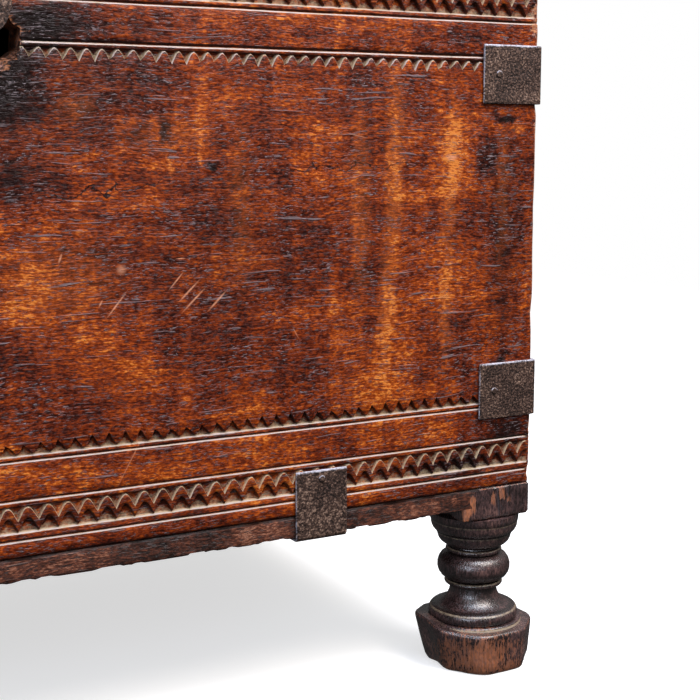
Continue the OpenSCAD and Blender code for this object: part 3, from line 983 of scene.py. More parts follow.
@dataclass(frozen=True)
class FrontBoard:
    """Carved board with the worn hole where its lock was.

    Args:
        low: Lowest corner of the board.
        high: Highest corner of the board; the board lies evenly about the middle of the box.
        carving: The carved bands.
        thickness: Thickness of the board.
        rebate: Depth of the rebate at each end.
        rebate_w: Width of the rebate.
        hole: Outline of the lock hole, across the box and above the board's lower edge.
        hole_s: Height of the middle of the hole.
        seed: Seed of the carver's unevenness.
    """

    low: Vector
    high: Vector
    carving: Carving = Carving()
    thickness: float = 22.0
    rebate: float = 8.0
    rebate_w: float = 20.0
    hole: tuple[Pair, ...] = (
        (-23, 282),
        (-4, 283),
        (12, 281.5),
        (22, 282.5),
        (27.5, 286),
        (28.2, 292),
        (28.5, 297.5),
        (24, 300),
        (21, 308),
        (13, 317),
        (-10, 318),
        (-19, 311),
        (-27, 300),
        (-28, 286),
    )
    hole_s: float = 300.0
    seed: float = 3.0

    def build(self, wood: bpy.types.Material) -> None:
        """Builds the board.

        Args:
            wood: Its finish.
        """
        shell = Shell()
        rows = [self._lay(shell, row) for row in self._front()]
        front = len(rows)
        rows += [self._lay_back(shell, s) for s in (self.high.z - self.low.z, *range(300, -1, -60))]
        for first, second in zip(rows, rows[1:] + rows[:1]):
            strip(shell, first, second, lambda i: shell.points[i].x)
        for end in (0, -1):
            edge = [row[end] for row in rows]
            strip(shell, edge[:front], edge[: front - 1 : -1], lambda i: shell.points[i].z)
        mesh = self._cut_hole(shell.mesh("front_board"))
        add_piece("carved_front_board", mesh, wood, Body.CHEST, ("front_board",))

    def _end(self, side: float, height: float) -> Pair:
        """Finds the worn end of the board at one height, and how deep it is chipped.

        Args:
            side: -1 for the left end and 1 for the right end.
            height: The height.

        Returns:
            Place of the end across the box, and depth of the chip.
        """
        spot = Vector((side, 0.0, height))
        worn = 0.3 + 1.5 * max(0.0, wobble(spot, 13.0, self.seed))
        worn += 1.3 * (1.0 + wobble(spot, 46.0, self.seed + 4.0)) * 0.5
        worn += 1.3 * max(0.0, wobble(spot, 3.5, self.seed + 2.0))
        chip = 0.8 + 1.6 * max(0.0, wobble(Vector((side, 7.0, height)), 9.0, self.seed))
        return (self.low if side < 0 else self.high).x - side * worn, chip

    def _lay(self, shell: Shell, row: Row) -> list[int]:
        """Adds one row of the front, rounded and chipped at its ends.

        Args:
            shell: Shell that gets the points.
            row: The row before it is rounded.

        Returns:
            Numbers of its points.
        """
        ends = [self._end(side, row[0][1]) for side in (-1.0, 1.0)]
        row = [point for point in row if ends[0][0] + CAP < point[0] < ends[1][0] - CAP]
        caps = []
        for side, (x, chip), (_, s, d, _) in zip((-1.0, 1.0), ends, (row[0], row[-1])):
            # Inset of each point, its share of the chip, its own depth and its share of the carving's depth
            rounding = ((0.0, 1.0, 0.0, 0.4), (0.7, 0.35, 0.0, 0.4), (2.0, 0.0, 0.1, 0.6))
            caps.append([(x - side * inset, s, a * chip + b + c * d, 0.0) for inset, a, b, c in rounding])
        row = caps[0] + row + caps[1][::-1]
        numbers = []
        for number, (x, s, d, dust_and_painted_light) in enumerate(row):
            spot = Vector((x, 0.0, s))
            d += 0.25 * (1.0 + wobble(spot, 60.0, self.seed)) * 0.5 + 0.1 * (1.0 + wobble(spot, 15.0, 1.0))
            edge = min(number, len(row) - 1 - number)
            wear_and_highlight = (0.9, 0.75, 0.3)[edge] if edge < 3 else 0.0
            place = Vector((x, self.low.y + min(d, DEEPEST), self.low.z + s))
            numbers.append(shell.point(place, dust_and_painted_light, wear_and_highlight))
        return numbers

    def _lay_back(self, shell: Shell, s: float) -> list[int]:
        """Adds one row of the back, with the rebates at its ends.

        Args:
            shell: Shell that gets the points.
            s: Height of the row.

        Returns:
            Numbers of its points.
        """
        low, high, inset = self.low, self.high, self.rebate_w
        far = low.y + self.thickness
        near = far - self.rebate
        row = [(low.x + 0.4, near), (low.x + inset, near), (low.x + inset, far)]
        row += [(low.x + inset + (high.x - low.x - 2 * inset) * i / 16, far) for i in range(1, 16)]
        row += [(high.x - inset, far), (high.x - inset, near), (high.x - 0.4, near)]
        return [shell.point(Vector((x, y, low.z + s))) for x, y in row]

    def _plain(self, s: float, d: float = 0.0, dust_and_painted_light: float = 0.0, step: float = 11.0) -> Row:
        """Lays a nearly straight row.

        Args:
            s: Its height.
            d: Its depth.
            dust_and_painted_light: Dust on it; painted shade below 0 and a painted highlight above 0.7.
            step: Distance between its points.

        Returns:
            The row.
        """
        half = self.high.x
        count = round(2 * half / step)
        row = []
        for i in range(count + 1):
            x = -half + 2 * half * i / count
            swing = 0.22 * wobble(Vector((x, 0.0, 20.0 * round(s / 20.0))), 45.0, self.seed)
            tool = max(0.0, 1.0 + 0.35 * wobble(Vector((x, 0.0, s)), 16.0, self.seed + 1.0))
            row.append((x, s + swing, d * tool, self._uneven(x, s, dust_and_painted_light)))
        inset = half - self.rebate_w
        row += [(-inset, s, d, dust_and_painted_light), (inset, s, d, dust_and_painted_light)]
        return sorted(row)

    def _fade(self, x: float) -> float:
        """How deep the carving is at x: less where it stops short of the board's ends."""
        return min(1.0, max(0.15, (self.high.x - STOP - abs(x)) / FADE))

    def _uneven(self, x: float, s: float, dust_and_painted_light: float) -> float:
        """The given mark of dust and painted light at one place, thinner in some stretches than in others.
        """
        share = 0.88 + 0.3 * wobble(Vector((x, 7.0, s)), 5.0, self.seed)
        return dust_and_painted_light * (share + 0.1 * wobble(Vector((x, 3.0, s)), 40.0))

    def _pocket(self, below: Row, above: Row, runs: Pair, dust_and_painted_light: Triple) -> list[Row]:
        """Lays a pocket's floor between its edges, shallower where the pocket is narrow.

        Args:
            below: Lower edge of the pocket.
            above: Upper edge of the pocket.
            runs: How far the lower and the upper wall lean out.
            dust_and_painted_light: Mark at the foot of the lower wall, on the floor and at the foot of the
                upper wall: dust above 0, painted shade below 0.

        Returns:
            Row at the foot of the lower wall, row on the floor and row at the foot of the upper wall.
        """
        low_foot, floor, high_foot = [], [], []
        for (x, s0, _, _), (_, s1, _, _) in zip(below, above):
            share = min(1.0, max(0.05, (s1 - s0) / sum(runs)))
            depth = self.carving.depth * share * self._fade(x)
            depth *= 1.0 + 0.14 * wobble(Vector((x, 0.0, s0)), 5.0, self.seed)
            foot, head = s0 + 0.88 * runs[0] * share, s1 - 0.88 * runs[1] * share
            low_foot.append((x, foot, depth, dust_and_painted_light[0]))
            floor.append((x, foot + 0.4 * (head - foot), depth, dust_and_painted_light[1]))
            high_foot.append((x, head, depth, dust_and_painted_light[2]))
        return [low_foot, floor, high_foot]

    def _columns(self, pitch: float, seed: float, tooth: tuple[Pair, ...]) -> list[Pair]:
        """Sets out a row of teeth.

        Args:
            pitch: Length of one tooth.
            seed: Seed of the carver's unevenness.
            tooth: Half of one tooth.

        Returns:
            Places across the box, each with its share of the height.
        """
        half, columns = self.high.x, []
        whole = (*tooth, (0.5, 1.0), *((1.0 - part, height) for part, height in reversed(tooth[1:])))
        for i in range(math.ceil(2 * half / pitch)):
            low_x, next_x = (
                -half + n * pitch + 0.55 * wobble(Vector((n * 3.1, 0.0, 0.0)), 1.0, seed) for n in (i, i + 1)
            )
            top = 0.5 + 0.05 * wobble(Vector((i * 5.3, 2.0, 0.0)), 1.0, seed)
            for part, height in whole:
                bent = part * top / 0.5 if part <= 0.5 else 1 - (1 - part) * (1 - top) / 0.5
                lean = 0.035 * wobble(Vector((i * 7.7 + part * 9, 4.0, 0.0)), 1.0, seed)
                columns.append((low_x + (next_x - low_x) * bent, height + lean * (part > 0)))
        return columns

    def _line(
        self,
        columns: list[Pair],
        sway: float,
        seed: float,
        base: float,
        swing: float,
        depth: float,
        dust_and_painted_light: float,
    ) -> Row:
        """Row through the columns of a band.

        Args:
            columns: Places along the band with the share of the swing at each.
            sway: How far the carver's hand wanders.
            seed: Seed of that.
            base: Height where that share is 0.
            swing: Rise where it is 1.
            depth: Depth of the row.
            dust_and_painted_light: Dust on the row; painted shade below 0 and a painted highlight above 0.7.

        Returns:
            The row.
        """
        row = []
        for x, share in columns:
            s = base + swing * share + sway * wobble(Vector((x, 0.0, base)), 7.0, seed)
            row.append((x, s, depth * self._fade(x), self._uneven(x, base, dust_and_painted_light)))
        return row

    def _zigzag_band(self, low_s: float, high_s: float, seed: float) -> list[Row]:
        """Carves a band with a zigzag rib.

        Args:
            low_s: Lower edge of the band.
            high_s: Upper edge of the band.
            seed: Seed of the carver's unevenness.

        Returns:
            Its rows, upwards.
        """
        rim, rib = self.carving.rim, self.carving.rib
        line = partial(self._line, self._columns(self.carving.zigzag_pitch, seed, BLUNT_HEAD), 0.2, seed)
        rise = high_s - low_s - 1.9 - rib
        # Upward-facing edges get dust and, above 0.7, a painted highlight; downward-facing edges, the foot
        # of the walls under them and the rib's face near its edges get painted shade
        rib_low = line(low_s + 1.0, rise, 0.3, -0.8)
        rib_high = line(low_s + 1.0 + rib, rise, 0.3, 0.85)
        edge_low, edge_high = line(low_s, 0.0, rim, 1.2), line(high_s, 0.0, rim, -0.9)
        lower = self._pocket(edge_low, rib_low, (1.2, 0.7), (0.4, 0.3, -0.95))
        upper = self._pocket(rib_high, edge_high, (1.2, 0.7), (0.3, 0.3, -0.6))
        inner_low, inner_high = line(low_s + 1.7, rise, 0.0, -0.5), line(low_s + 0.3 + rib, rise, 0.0, -0.4)
        below, above = line(low_s - CLEAN, 0.0, 0.0, 0.0), line(high_s + CLEAN, 0.0, 0.0, 0.0)
        return [below, edge_low, *lower, rib_low, inner_low, inner_high, rib_high, *upper, edge_high, above]

    def _toothed_band(self, low_s: float, high_s: float, down: bool, pitch: float) -> list[Row]:
        """Carves a band into which the panel's teeth point.

        Args:
            low_s: Lower edge of the band.
            high_s: Upper edge of the band.
            down: Whether the teeth point downwards.
            pitch: Length of one tooth.

        Returns:
            Its rows, upwards.
        """
        rim, round_top = self.carving.rim, 0.55
        columns = self._columns(pitch, 11.0 if down else 17.0, BLUNT_FOOT if down else BLUNT_HEAD)
        line = partial(self._line, columns, 0.0, 0.0)
        # Upward-facing edges get dust and, above 0.7, a painted highlight; downward-facing edges and the
        # foot of the walls under them get painted shade
        if down:
            foot, rise = low_s + 1.4, high_s - low_s - 1.4
            edge, teeth = line(low_s, 0.0, rim, 1.2), line(foot, rise, rim, -0.8)
            lower = self._pocket(edge, teeth, (0.8, 0.8), (0.45, 0.3, -0.95))
            above = line(foot + round_top, rise, 0.0, 0.0)
            return [line(low_s - CLEAN, 0.0, 0.0, 0.0), edge, *lower, teeth, above]
        rise = high_s - low_s - 0.8
        edge, teeth = line(high_s, 0.0, rim, -0.9), line(low_s, rise, rim, 1.1)
        pocket = self._pocket(teeth, edge, (1.3, 0.8), (0.45, 0.4, -0.4))
        return [line(low_s - round_top, rise, 0.0, 0.0), teeth, *pocket, edge]

    def _front(self) -> list[Row]:
        """Lays all rows of the front.

        Returns:
            The rows, from the lower edge of the board to the upper edge.
        """
        bands: list[tuple[float, list[Row]]] = []
        for n, (low_s, high_s) in enumerate(self.carving.zigzags):
            bands.append((low_s, self._zigzag_band(low_s, high_s, 5.0 + 8.0 * n)))
        for n, (low_s, high_s) in enumerate(self.carving.teeth):
            bands.append((low_s, self._toothed_band(low_s, high_s, n == 0, self.carving.tooth_pitch[n])))
        for low_s, high_s in self.carving.grooves:
            # The lower edge of each groove, which faces up, gets dust and a painted highlight; its bottom
            # and upper wall get painted shade
            profile = (
                (low_s - 0.5, 0.0, 0.0),
                (low_s - 0.2, 0.1, 1.2),
                (low_s + 0.25, 0.45, 1.2),
                (0.5 * (low_s + high_s), 1.3, -0.7),
                (high_s, 0.25, -1.0),
                (high_s + 0.3, 0.0, 0.0),
            )
            bands.append((low_s, [self._plain(*point, step=7.0) for point in profile]))
        start, gap, count = self.carving.panel
        for s in (*self.carving.plain, *(start + gap * i for i in range(count))):
            bands.append((s, [self._plain(s)]))
        height = self.high.z - self.low.z
        # Painted shade along the board's lower and upper edges, strongest at the very bottom
        for s, d in ((0.0, 1.6), (0.6, 0.6), (height - 0.6, 0.6), (height, 1.6)):
            shade = -0.95 if s < 0.3 else -0.5
            bands.append((s, [[(x, s, deep, shade) for x, _, deep, _ in self._plain(s, d)]]))
        return [row for _, rows in sorted(bands, key=lambda band: band[0]) for row in rows]

    def _cutter(self) -> bpy.types.Mesh:
        """Makes a ragged plug in the shape of the hole, wider in front where its rim has split away.

        Returns:
            The closed mesh.
        """
        outline, parts = [], 5
        for (x0, s0), (x1, s1) in zip(self.hole, self.hole[1:] + self.hole[:1]):
            for i in range(parts):
                outline.append((x0 + (x1 - x0) * i / parts, s0 + (s1 - s0) * i / parts))
        middle = Vector((0.0, 0.0, self.hole_s))
        cutter = Shell()
        rings = []
        for depth, flare in ((-2.0, 9.0), (0.6, 7.5), (5.0, 3.6), (10.0, 1.0), (self.thickness + 2.0, 0.4)):
            ring = []
            for x, s in outline:
                out = (Vector((x, 0.0, s)) - middle).normalized()
                spot = Vector((x, depth, s))
                split = max(0.0, 0.35 + abs(out.z) ** 2 * 0.9 + 0.7 * wobble(spot, 7.0, 2.0))
                rough = 0.5 * wobble(spot, 1.8, 4.0)
                along_grain = 0.25 if abs(out.x) > 0.85 else 1.0
                place = Vector((x, 0.0, s)) + out * (flare * split * along_grain + rough)
                ring.append(cutter.point(Vector((place.x, self.low.y + depth, self.low.z + place.z))))
            rings.append(ring)
        cutter.tube(rings)
        cutter.faces += [tuple(rings[0]), tuple(reversed(rings[-1]))]
        return cutter.mesh("hole_cutter")

    def _cut_hole(self, mesh: bpy.types.Mesh) -> bpy.types.Mesh:
        """Cuts the hole into the board's mesh, and marks its rough sides as worn.

        Args:
            mesh: Mesh of the whole board.

        Returns:
            Mesh of the board with its hole.
        """
        tool = bpy.data.objects.new("hole_cutter", self._cutter())
        board = bpy.data.objects.new("board_blank", mesh)
        for item in (tool, board):
            # The cut faces are known afterwards by their second material slot
            item.data.materials.append(None)
            item.data.materials.append(None)
            bpy.context.scene.collection.objects.link(item)
        tool.data.polygons.foreach_set("material_index", [1] * len(tool.data.polygons))
        cut = board.modifiers.new("hole", "BOOLEAN")
        cut.operation = "DIFFERENCE"
        cut.solver = "EXACT"
        cut.use_self = True
        cut.object = tool
        made = evaluated_mesh(board)
        for item in (tool, board):
            bpy.data.objects.remove(item)
        wear_and_highlight = made.attributes["wear_and_highlight"].data
        for face in made.polygons:
            if face.material_index == 1:
                for number in face.vertices:
                    wear_and_highlight[number].value = 0.62
                face.material_index = 0
        return made


# ---- Boards, rails and legs ----


@dataclass(frozen=True)
class PlainBoards:
    """Boards, planks and rails that are plain blocks.

    Args:
        nodes: CAD nodes, each one block.
        body: Body that they move with.
        slot: Material slot of the record; not used.
        round_off: Radius of their arrises.
        edge_wear: How far their arrises are worn back.
        lumps: How far their faces wander.
        step: Length of the cells.
        dust_and_shade_above: Dust on upper faces; below 0, painted shade on the upper faces and the ends.
        ragged: How far the lower side is chipped away in places.
    """

    nodes: tuple[str, ...]
    body: Body
    slot: str
    round_off: float = 1.6
    edge_wear: float = 1.2
    lumps: float = 0.4
    step: float = 12.0
    dust_and_shade_above: float = 0.0
    ragged: float = 0.0

    def build(self, wood: bpy.types.Material) -> None:
        """Builds the boards.

        Args:
            wood: Their finish.
        """
        for number, node in enumerate(self.nodes):
            low, high = node_box(node)
            seed = 11.0 + 7.0 * number
            wear_and_highlight = (self.round_off, self.step, self.lumps, self.edge_wear, seed, self.dust_and_shade_above)
            mesh = Block(low, high, *wear_and_highlight, ragged=self.ragged).build().mesh(node)
            add_piece("old_" + node, mesh, wood, self.body, (node,), 97.0 * (number + 1))


@dataclass(frozen=True)
class CopiedParts:
    """Pieces whose looks are their CAD shape with broken edges.

    Args:
        nodes: CAD nodes.
        body: Body that they move with.
        slot: Material slot of the record; not used.
        bevel: Width of the broken edges.
        dust_and_shade_above: Dust on upper faces.
        broad: Area of a face, in square millimetres, from which it is shaded flat.
    """

    nodes: tuple[str, ...]
    body: Body
    slot: str
    bevel: float
    dust_and_shade_above: float = 0.0
    broad: float = 60.0

    def build(self, material: bpy.types.Material) -> None:
        """Builds the pieces.

        Args:
            material: Their finish.
        """
        for number, node in enumerate(self.nodes):
            mesh = softened(node, self.bevel, self.dust_and_shade_above)
            shift = 53.0 * (number + 1)
            piece = add_piece("worn_" + node, mesh, material, self.body, (node,), shift, 20.0)
            for face in piece.data.polygons:
                face.use_smooth = face.area < self.broad * MM**2


class Form(Enum):
    """Mouldings of the turned leg; a quarter round lies flat at the bottom and is upright at the top."""

    FILLET = "fillet"
    BEAD = "bead"
    QUARTER = "quarter round"


@dataclass(frozen=True)
class Moulding:
    """One moulding of a turned profile.

    Args:
        form: Kind of moulding.
        low_z: Height of its lower edge.
        high_z: Height of its upper edge.
        low_r: Radius at its lower edge.
        high_r: Radius at its upper edge.
        swell: How far a bead stands out.
    """

    form: Form
    low_z: float
    high_z: float
    low_r: float
    high_r: float
    swell: float = 0.0

    def points(self) -> list[Pair]:
        """Sets out the points along the moulding.

        Returns:
            Radius and height of each point, upwards.
        """
        steps = 2 if self.form is Form.FILLET else 9
        made = []
        for i in range(steps + 1):
            out, up, swell = i / steps, i / steps, 0.0
            if self.form is Form.BEAD:
                half = math.pi * (out - 0.5)
                up, swell = 0.5 + 0.5 * math.sin(half), self.swell * math.cos(half)
            elif self.form is Form.QUARTER:
                turn = out * math.pi / 2
                out, up = math.sin(turn), 1 - math.cos(turn)
            r = self.low_r + (self.high_r - self.low_r) * out + swell
            made.append((r, self.low_z + (self.high_z - self.low_z) * up))
        return made


@dataclass(frozen=True)
class Spot:
    """Worn place on a leg.

    Args:
        angle: Degrees round the leg from the front, towards the right.
        z: Its height.
        half_w: Half its width, along the surface.
        half_h: Half its height.
        strength: How bare it is at its middle.
    """

    angle: float
    z: float
    half_w: float
    half_h: float
    strength: float = 1.0


@dataclass(frozen=True)
class Leg:
    """Turned leg with a square head and a rough octagonal foot, all one piece.

    Args:
        node: CAD node that it stands for.
        seed: Seed of its unevenness.
        spots: Places worn to the bare wood.
        mouldings: Profile of the turned part.
        head_w: Side of the head.
        head_z: Heights of the head's lower and upper face.
        foot_r: Radius of the foot over its flats.
        foot_h: Height of the foot.
        foot_turn: Direction in which the foot is hewn back and stands higher, in radians.
        foot_sides: Number of points round the foot.
        hollows: Heights of the hollows between the mouldings, which get painted shade.
        highlit_lips: Heights of the upper edges of mouldings that get a thin pale line in the colour of
            dust, a painted highlight.
    """

    node: str
    seed: float
    spots: tuple[Spot, ...] = ()
    mouldings: tuple[Moulding, ...] = (
        Moulding(Form.BEAD, 27.0, 31.6, 33.0, 33.2, 1.6),
        Moulding(Form.BEAD, 31.6, 39.5, 30.2, 29.6, 2.2),
        Moulding(Form.QUARTER, 39.9, 54.6, 29.0, 16.8),
        Moulding(Form.BEAD, 55.0, 59.2, 18.2, 18.2, 2.8),
        Moulding(Form.BEAD, 60.0, 78.6, 18.8, 18.8, 7.5),
        Moulding(Form.BEAD, 79.2, 83.0, 18.0, 17.8, 2.4),
        Moulding(Form.FILLET, 83.6, 85.4, 17.6, 19.6),
        Moulding(Form.QUARTER, 85.6, 93.6, 20.4, 26.6),
        Moulding(Form.FILLET, 94.0, 94.8, 27.4, 27.8),
        Moulding(Form.QUARTER, 95.0, 102.8, 27.0, 31.2),
        Moulding(Form.FILLET, 103.4, 108.6, 31.6, 32.0),
    )
    head_w: float = 56.0
    head_z: Pair = (109.0, 132.0)
    foot_r: float = 41.0
    foot_h: float = 29.0
    foot_turn: float = 2.9
    foot_sides: int = 64
    hollows: tuple[float, ...] = (33.5, 39.7, 54.8, 59.6, 65.0, 78.9, 83.3, 94.0, 103.1)
    highlit_lips: tuple[float, ...] = (38.9, 58.4, 82.2, 85.3, 93.2, 102.4)

    def build(self, wood: bpy.types.Material, lathe: Tree) -> None:
        """Builds the leg.

        Args:
            wood: Its finish.
            lathe: Geometry Nodes tree that turns a profile.
        """
        low, high = node_box(self.node)
        axis = (low + high) / 2
        shell = self._foot(axis)
        half = self.head_w / 2
        low = Vector((axis.x - half, axis.y - half, self.head_z[0]))
        high = Vector((axis.x + half, axis.y + half, self.head_z[1]))
        shell.join(Block(low, high, 1.6, step=2.6, lumps=0.7, edge_wear=1.8, seed=self.seed).build())
        self._join_turning(shell, axis, self._turn(lathe))
        self._wear(shell, axis)
        mesh, shift = shell.mesh(self.node), 131.0 * self.seed
        add_piece("turned_" + self.node, mesh, wood, Body.CHEST, (self.node,), shift)

    def _turn(self, lathe: Tree) -> bpy.types.Mesh:
        """Turns the profile.

        Args:
            lathe: Geometry Nodes tree that turns a profile.

        Returns:
            The turned mesh, in metres.
        """
        points = [(0.0, self.mouldings[0].low_z)]
        for moulding in self.mouldings:
            points += moulding.points()
        points.append((0.0, self.mouldings[-1].high_z))
        profile = bpy.data.meshes.new("profile")
        edges = [(i, i + 1) for i in range(len(points) - 1)]
        profile.from_pydata([(r * MM, -z * MM, 0.0) for r, z in points], edges, [])
        blank = bpy.data.objects.new("leg_blank", profile)
        bpy.context.scene.collection.objects.link(blank)
        return run_tree(blank, lathe, {"Segments": 72, "Unevenness": 0.5 * MM, "Seed": self.seed})

    def _join_turning(self, shell: Shell, axis: Vector, turned: bpy.types.Mesh) -> None:
        """Adds the turned mesh to the shell, on the leg's axis.

        Args:
            shell: Shell of the leg.
            axis: Middle of the leg.
            turned: The turned mesh, in metres.
        """
        start = len(shell.points)
        for vert in turned.vertices:
            place = vert.co / MM
            shell.point(Vector((place.x + axis.x, place.y + axis.y, place.z)))
        shell.faces += [tuple(start + i for i in face.vertices) for face in turned.polygons]

    def _foot(self, axis: Vector) -> Shell:
        """Builds the hewn foot, narrower at the bottom and split along its lower edge.

        Args:
            axis: Middle of the leg.

        Returns:
            The closed shell.
        """
        shell = Shell()
        rings = []
        for z in (0.0, 0.8, 3.5, 8.0, 13.0, 18.0, 23.0, 27.0, 28.4, self.foot_h):
            ring = []
            bare = 0.6 if z in (0.8, 28.4) else 0.0
            share = z / self.foot_h
            for i in range(self.foot_sides):
                angle = 2 * math.pi * i / self.foot_sides
                flat = math.cos((angle + math.pi / 8) % (math.pi / 4) - math.pi / 8)
                spot = Vector((math.cos(angle), math.sin(angle), z / 40.0))
                r = (self.foot_r - 0.3) / max(0.955, flat ** 0.9)
                r -= 1.1 * max(0.0, wobble(spot, 0.55, self.seed))
                r -= 0.5 * max(0.0, wobble(spot, 0.12, self.seed + 3.0))
                lean = max(0.0, math.cos(angle - self.foot_turn)) ** 2
                hewn = 2.0 + 7.0 * lean + 1.6 * wobble(Vector((spot.x, spot.y, 0.0)), 0.6, self.seed)
                r -= hewn * (1 - share)
                if z < 2.0:
                    r -= (2.0 - z) * (0.7 + 0.6 * wobble(spot, 0.3, self.seed))
                if z > 28.0:
                    r -= (z - 28.0) * 1.3
                x = min(max(r * spot.x, -self.foot_r), self.foot_r)
                y = min(max(r * spot.y, -self.foot_r), self.foot_r)
                raised = z * (1.0 + 0.2 * lean**2 * share)
                ring.append(shell.point(Vector((axis.x + x, axis.y + y, raised)), 0.0, bare))
            rings.append(ring)
        shell.tube(rings)
        for ring, z, dust_and_painted_light in ((rings[0], 0.4, 0.0), (rings[-1], self.foot_h, 0.5)):
            middle = shell.point(Vector((axis.x, axis.y, z)), dust_and_painted_light)
            shell.faces += [(i, j, middle) for i, j in zip(ring, ring[1:] + ring[:1])]
        return shell

    def _wear(self, shell: Shell, axis: Vector) -> None:
        """Marks the worn spots, the dust round the foot of the turning, painted shade in the leg's hollows
        and a faint painted highlight along the upper edges of its mouldings.

        Args:
            shell: Shell of the leg.
            axis: Middle of the leg.
        """
        for number, place in enumerate(shell.points):
            out = Vector((place.x - axis.x, place.y - axis.y))
            angle = math.degrees(math.atan2(out.x, -out.y))
            for spot in self.spots:
                across = math.radians((angle - spot.angle + 180) % 360 - 180) * out.length / spot.half_w
                reach = math.hypot(across, (place.z - spot.z) / spot.half_h)
                if reach < 1:
                    shell.wear_and_highlight[number] = max(shell.wear_and_highlight[number], spot.strength * (1.0 - reach**4))
            if 28.5 < place.z < 31.0 and out.length < 36:
                shell.dust_and_painted_light[number] = 0.8 if place.z < 29.8 else 0.4
            if place.z < 31.0 or out.length > 33.0:
                continue
            # Painted shade in the hollows, and a faint painted highlight in the colour of dust along the
            # upper edges
            for heights, reach, dust_and_painted_light in ((self.hollows, 0.8, -0.9), (self.highlit_lips, 0.45, 0.36)):
                if any(abs(place.z - height) < reach for height in heights):
                    shell.dust_and_painted_light[number] = dust_and_painted_light


def run_tree(blank: bpy.types.Object, tree: Tree, settings: dict[str, float]) -> bpy.types.Mesh:
    """Runs a Geometry Nodes tree on an object and takes the object away again.

    Args:
        blank: Object that carries the input mesh.
        tree: The tree.
        settings: Values of the tree's inputs by name.

    Returns:
        The mesh that the tree makes.
    """
    modifier = blank.modifiers.new("tree", "NODES")
    modifier.node_group = tree
    for item in tree.interface.items_tree:
        if item.name in settings:
            modifier[item.identifier] = settings[item.name]
    made = evaluated_mesh(blank)
    blank.modifiers.clear()
    bpy.data.objects.remove(blank)
    return made


def new_tree(name: str, inputs: dict[str, str]) -> tuple[Tree, Node]:
    """Starts a Geometry Nodes tree.

    Args:
        name: Name of the tree.
        inputs: Kind of each named input after the geometry.

    Returns:
        The tree and its input node.
    """
    tree = bpy.data.node_groups.new(name, "GeometryNodeTree")
    tree.interface.new_socket("Geometry", in_out="INPUT", socket_type="NodeSocketGeometry")
    tree.interface.new_socket("Geometry", in_out="OUTPUT", socket_type="NodeSocketGeometry")
    for socket, kind in inputs.items():
        tree.interface.new_socket(socket, in_out="INPUT", socket_type=kind)
    return tree, add_node(tree, "NodeGroupInput")


def end_tree(tree: Tree, shape: Node, material: bpy.types.Material) -> Tree:
    """Ends a Geometry Nodes tree with real faces in the given material.

    Args:
        tree: The tree.
        shape: Node whose first output is the geometry.
        material: Finish of the faces.

    Returns:
        The tree.
    """
    real = add_node(tree, "GeometryNodeRealizeInstances", {}, {"Geometry": shape})
    finished = add_node(tree, "GeometryNodeSetMaterial", {"Material": material}, {"Geometry": real})
    add_node(tree, "NodeGroupOutput", {}, {0: finished})
    return tree


def lathe_tree(wood: bpy.types.Material) -> Tree:
    """Builds the tree that turns a profile round Z and makes it slightly uneven.

    Args:
        wood: Finish of what it turns.

    Returns:
        The tree.
    """
    kinds = {"Segments": "NodeSocketInt", "Unevenness": "NodeSocketFloat", "Seed": "NodeSocketFloat"}
    tree, source = new_tree("lathe", kinds)
    profile = add_node(tree, "GeometryNodeMeshToCurve", {}, {"Mesh": source})
    segments = source.outputs["Segments"]
    circle = add_node(tree, "GeometryNodeCurvePrimitiveCircle", {"Radius": 1e-6}, {"Resolution": segments})
    turned = add_node(tree, "GeometryNodeCurveToMesh", {}, {"Curve": circle, "Profile Curve": profile})
    position = add_node(tree, "GeometryNodeInputPosition")
    rough = add_node(
        tree,
        "ShaderNodeTexNoise",
        {"noise_dimensions": "4D", "Scale": 70.0, "Detail": 3.0},
        {"Vector": position, "W": source.outputs["Seed"]},
    )
    to_axis = {"operation": "MULTIPLY", 1: (-1.0, -1.0, 0.0)}
    flat = add_node(tree, "ShaderNodeVectorMath", to_axis, {0: position})
    inwards = add_node(tree, "ShaderNodeVectorMath", {"operation": "NORMALIZE"}, {0: flat})
    links = {0: rough, 1: source.outputs["Unevenness"]}
    reach = add_node(tree, "ShaderNodeMath", {"operation": "MULTIPLY"}, links)
    shift = add_node(tree, "ShaderNodeVectorMath", {"operation": "SCALE"}, {0: inwards, "Scale": reach})
    moved = add_node(tree, "GeometryNodeSetPosition", {}, {"Geometry": turned, "Offset": shift})
    return end_tree(tree, moved, wood)


# ---- Ironwork ----


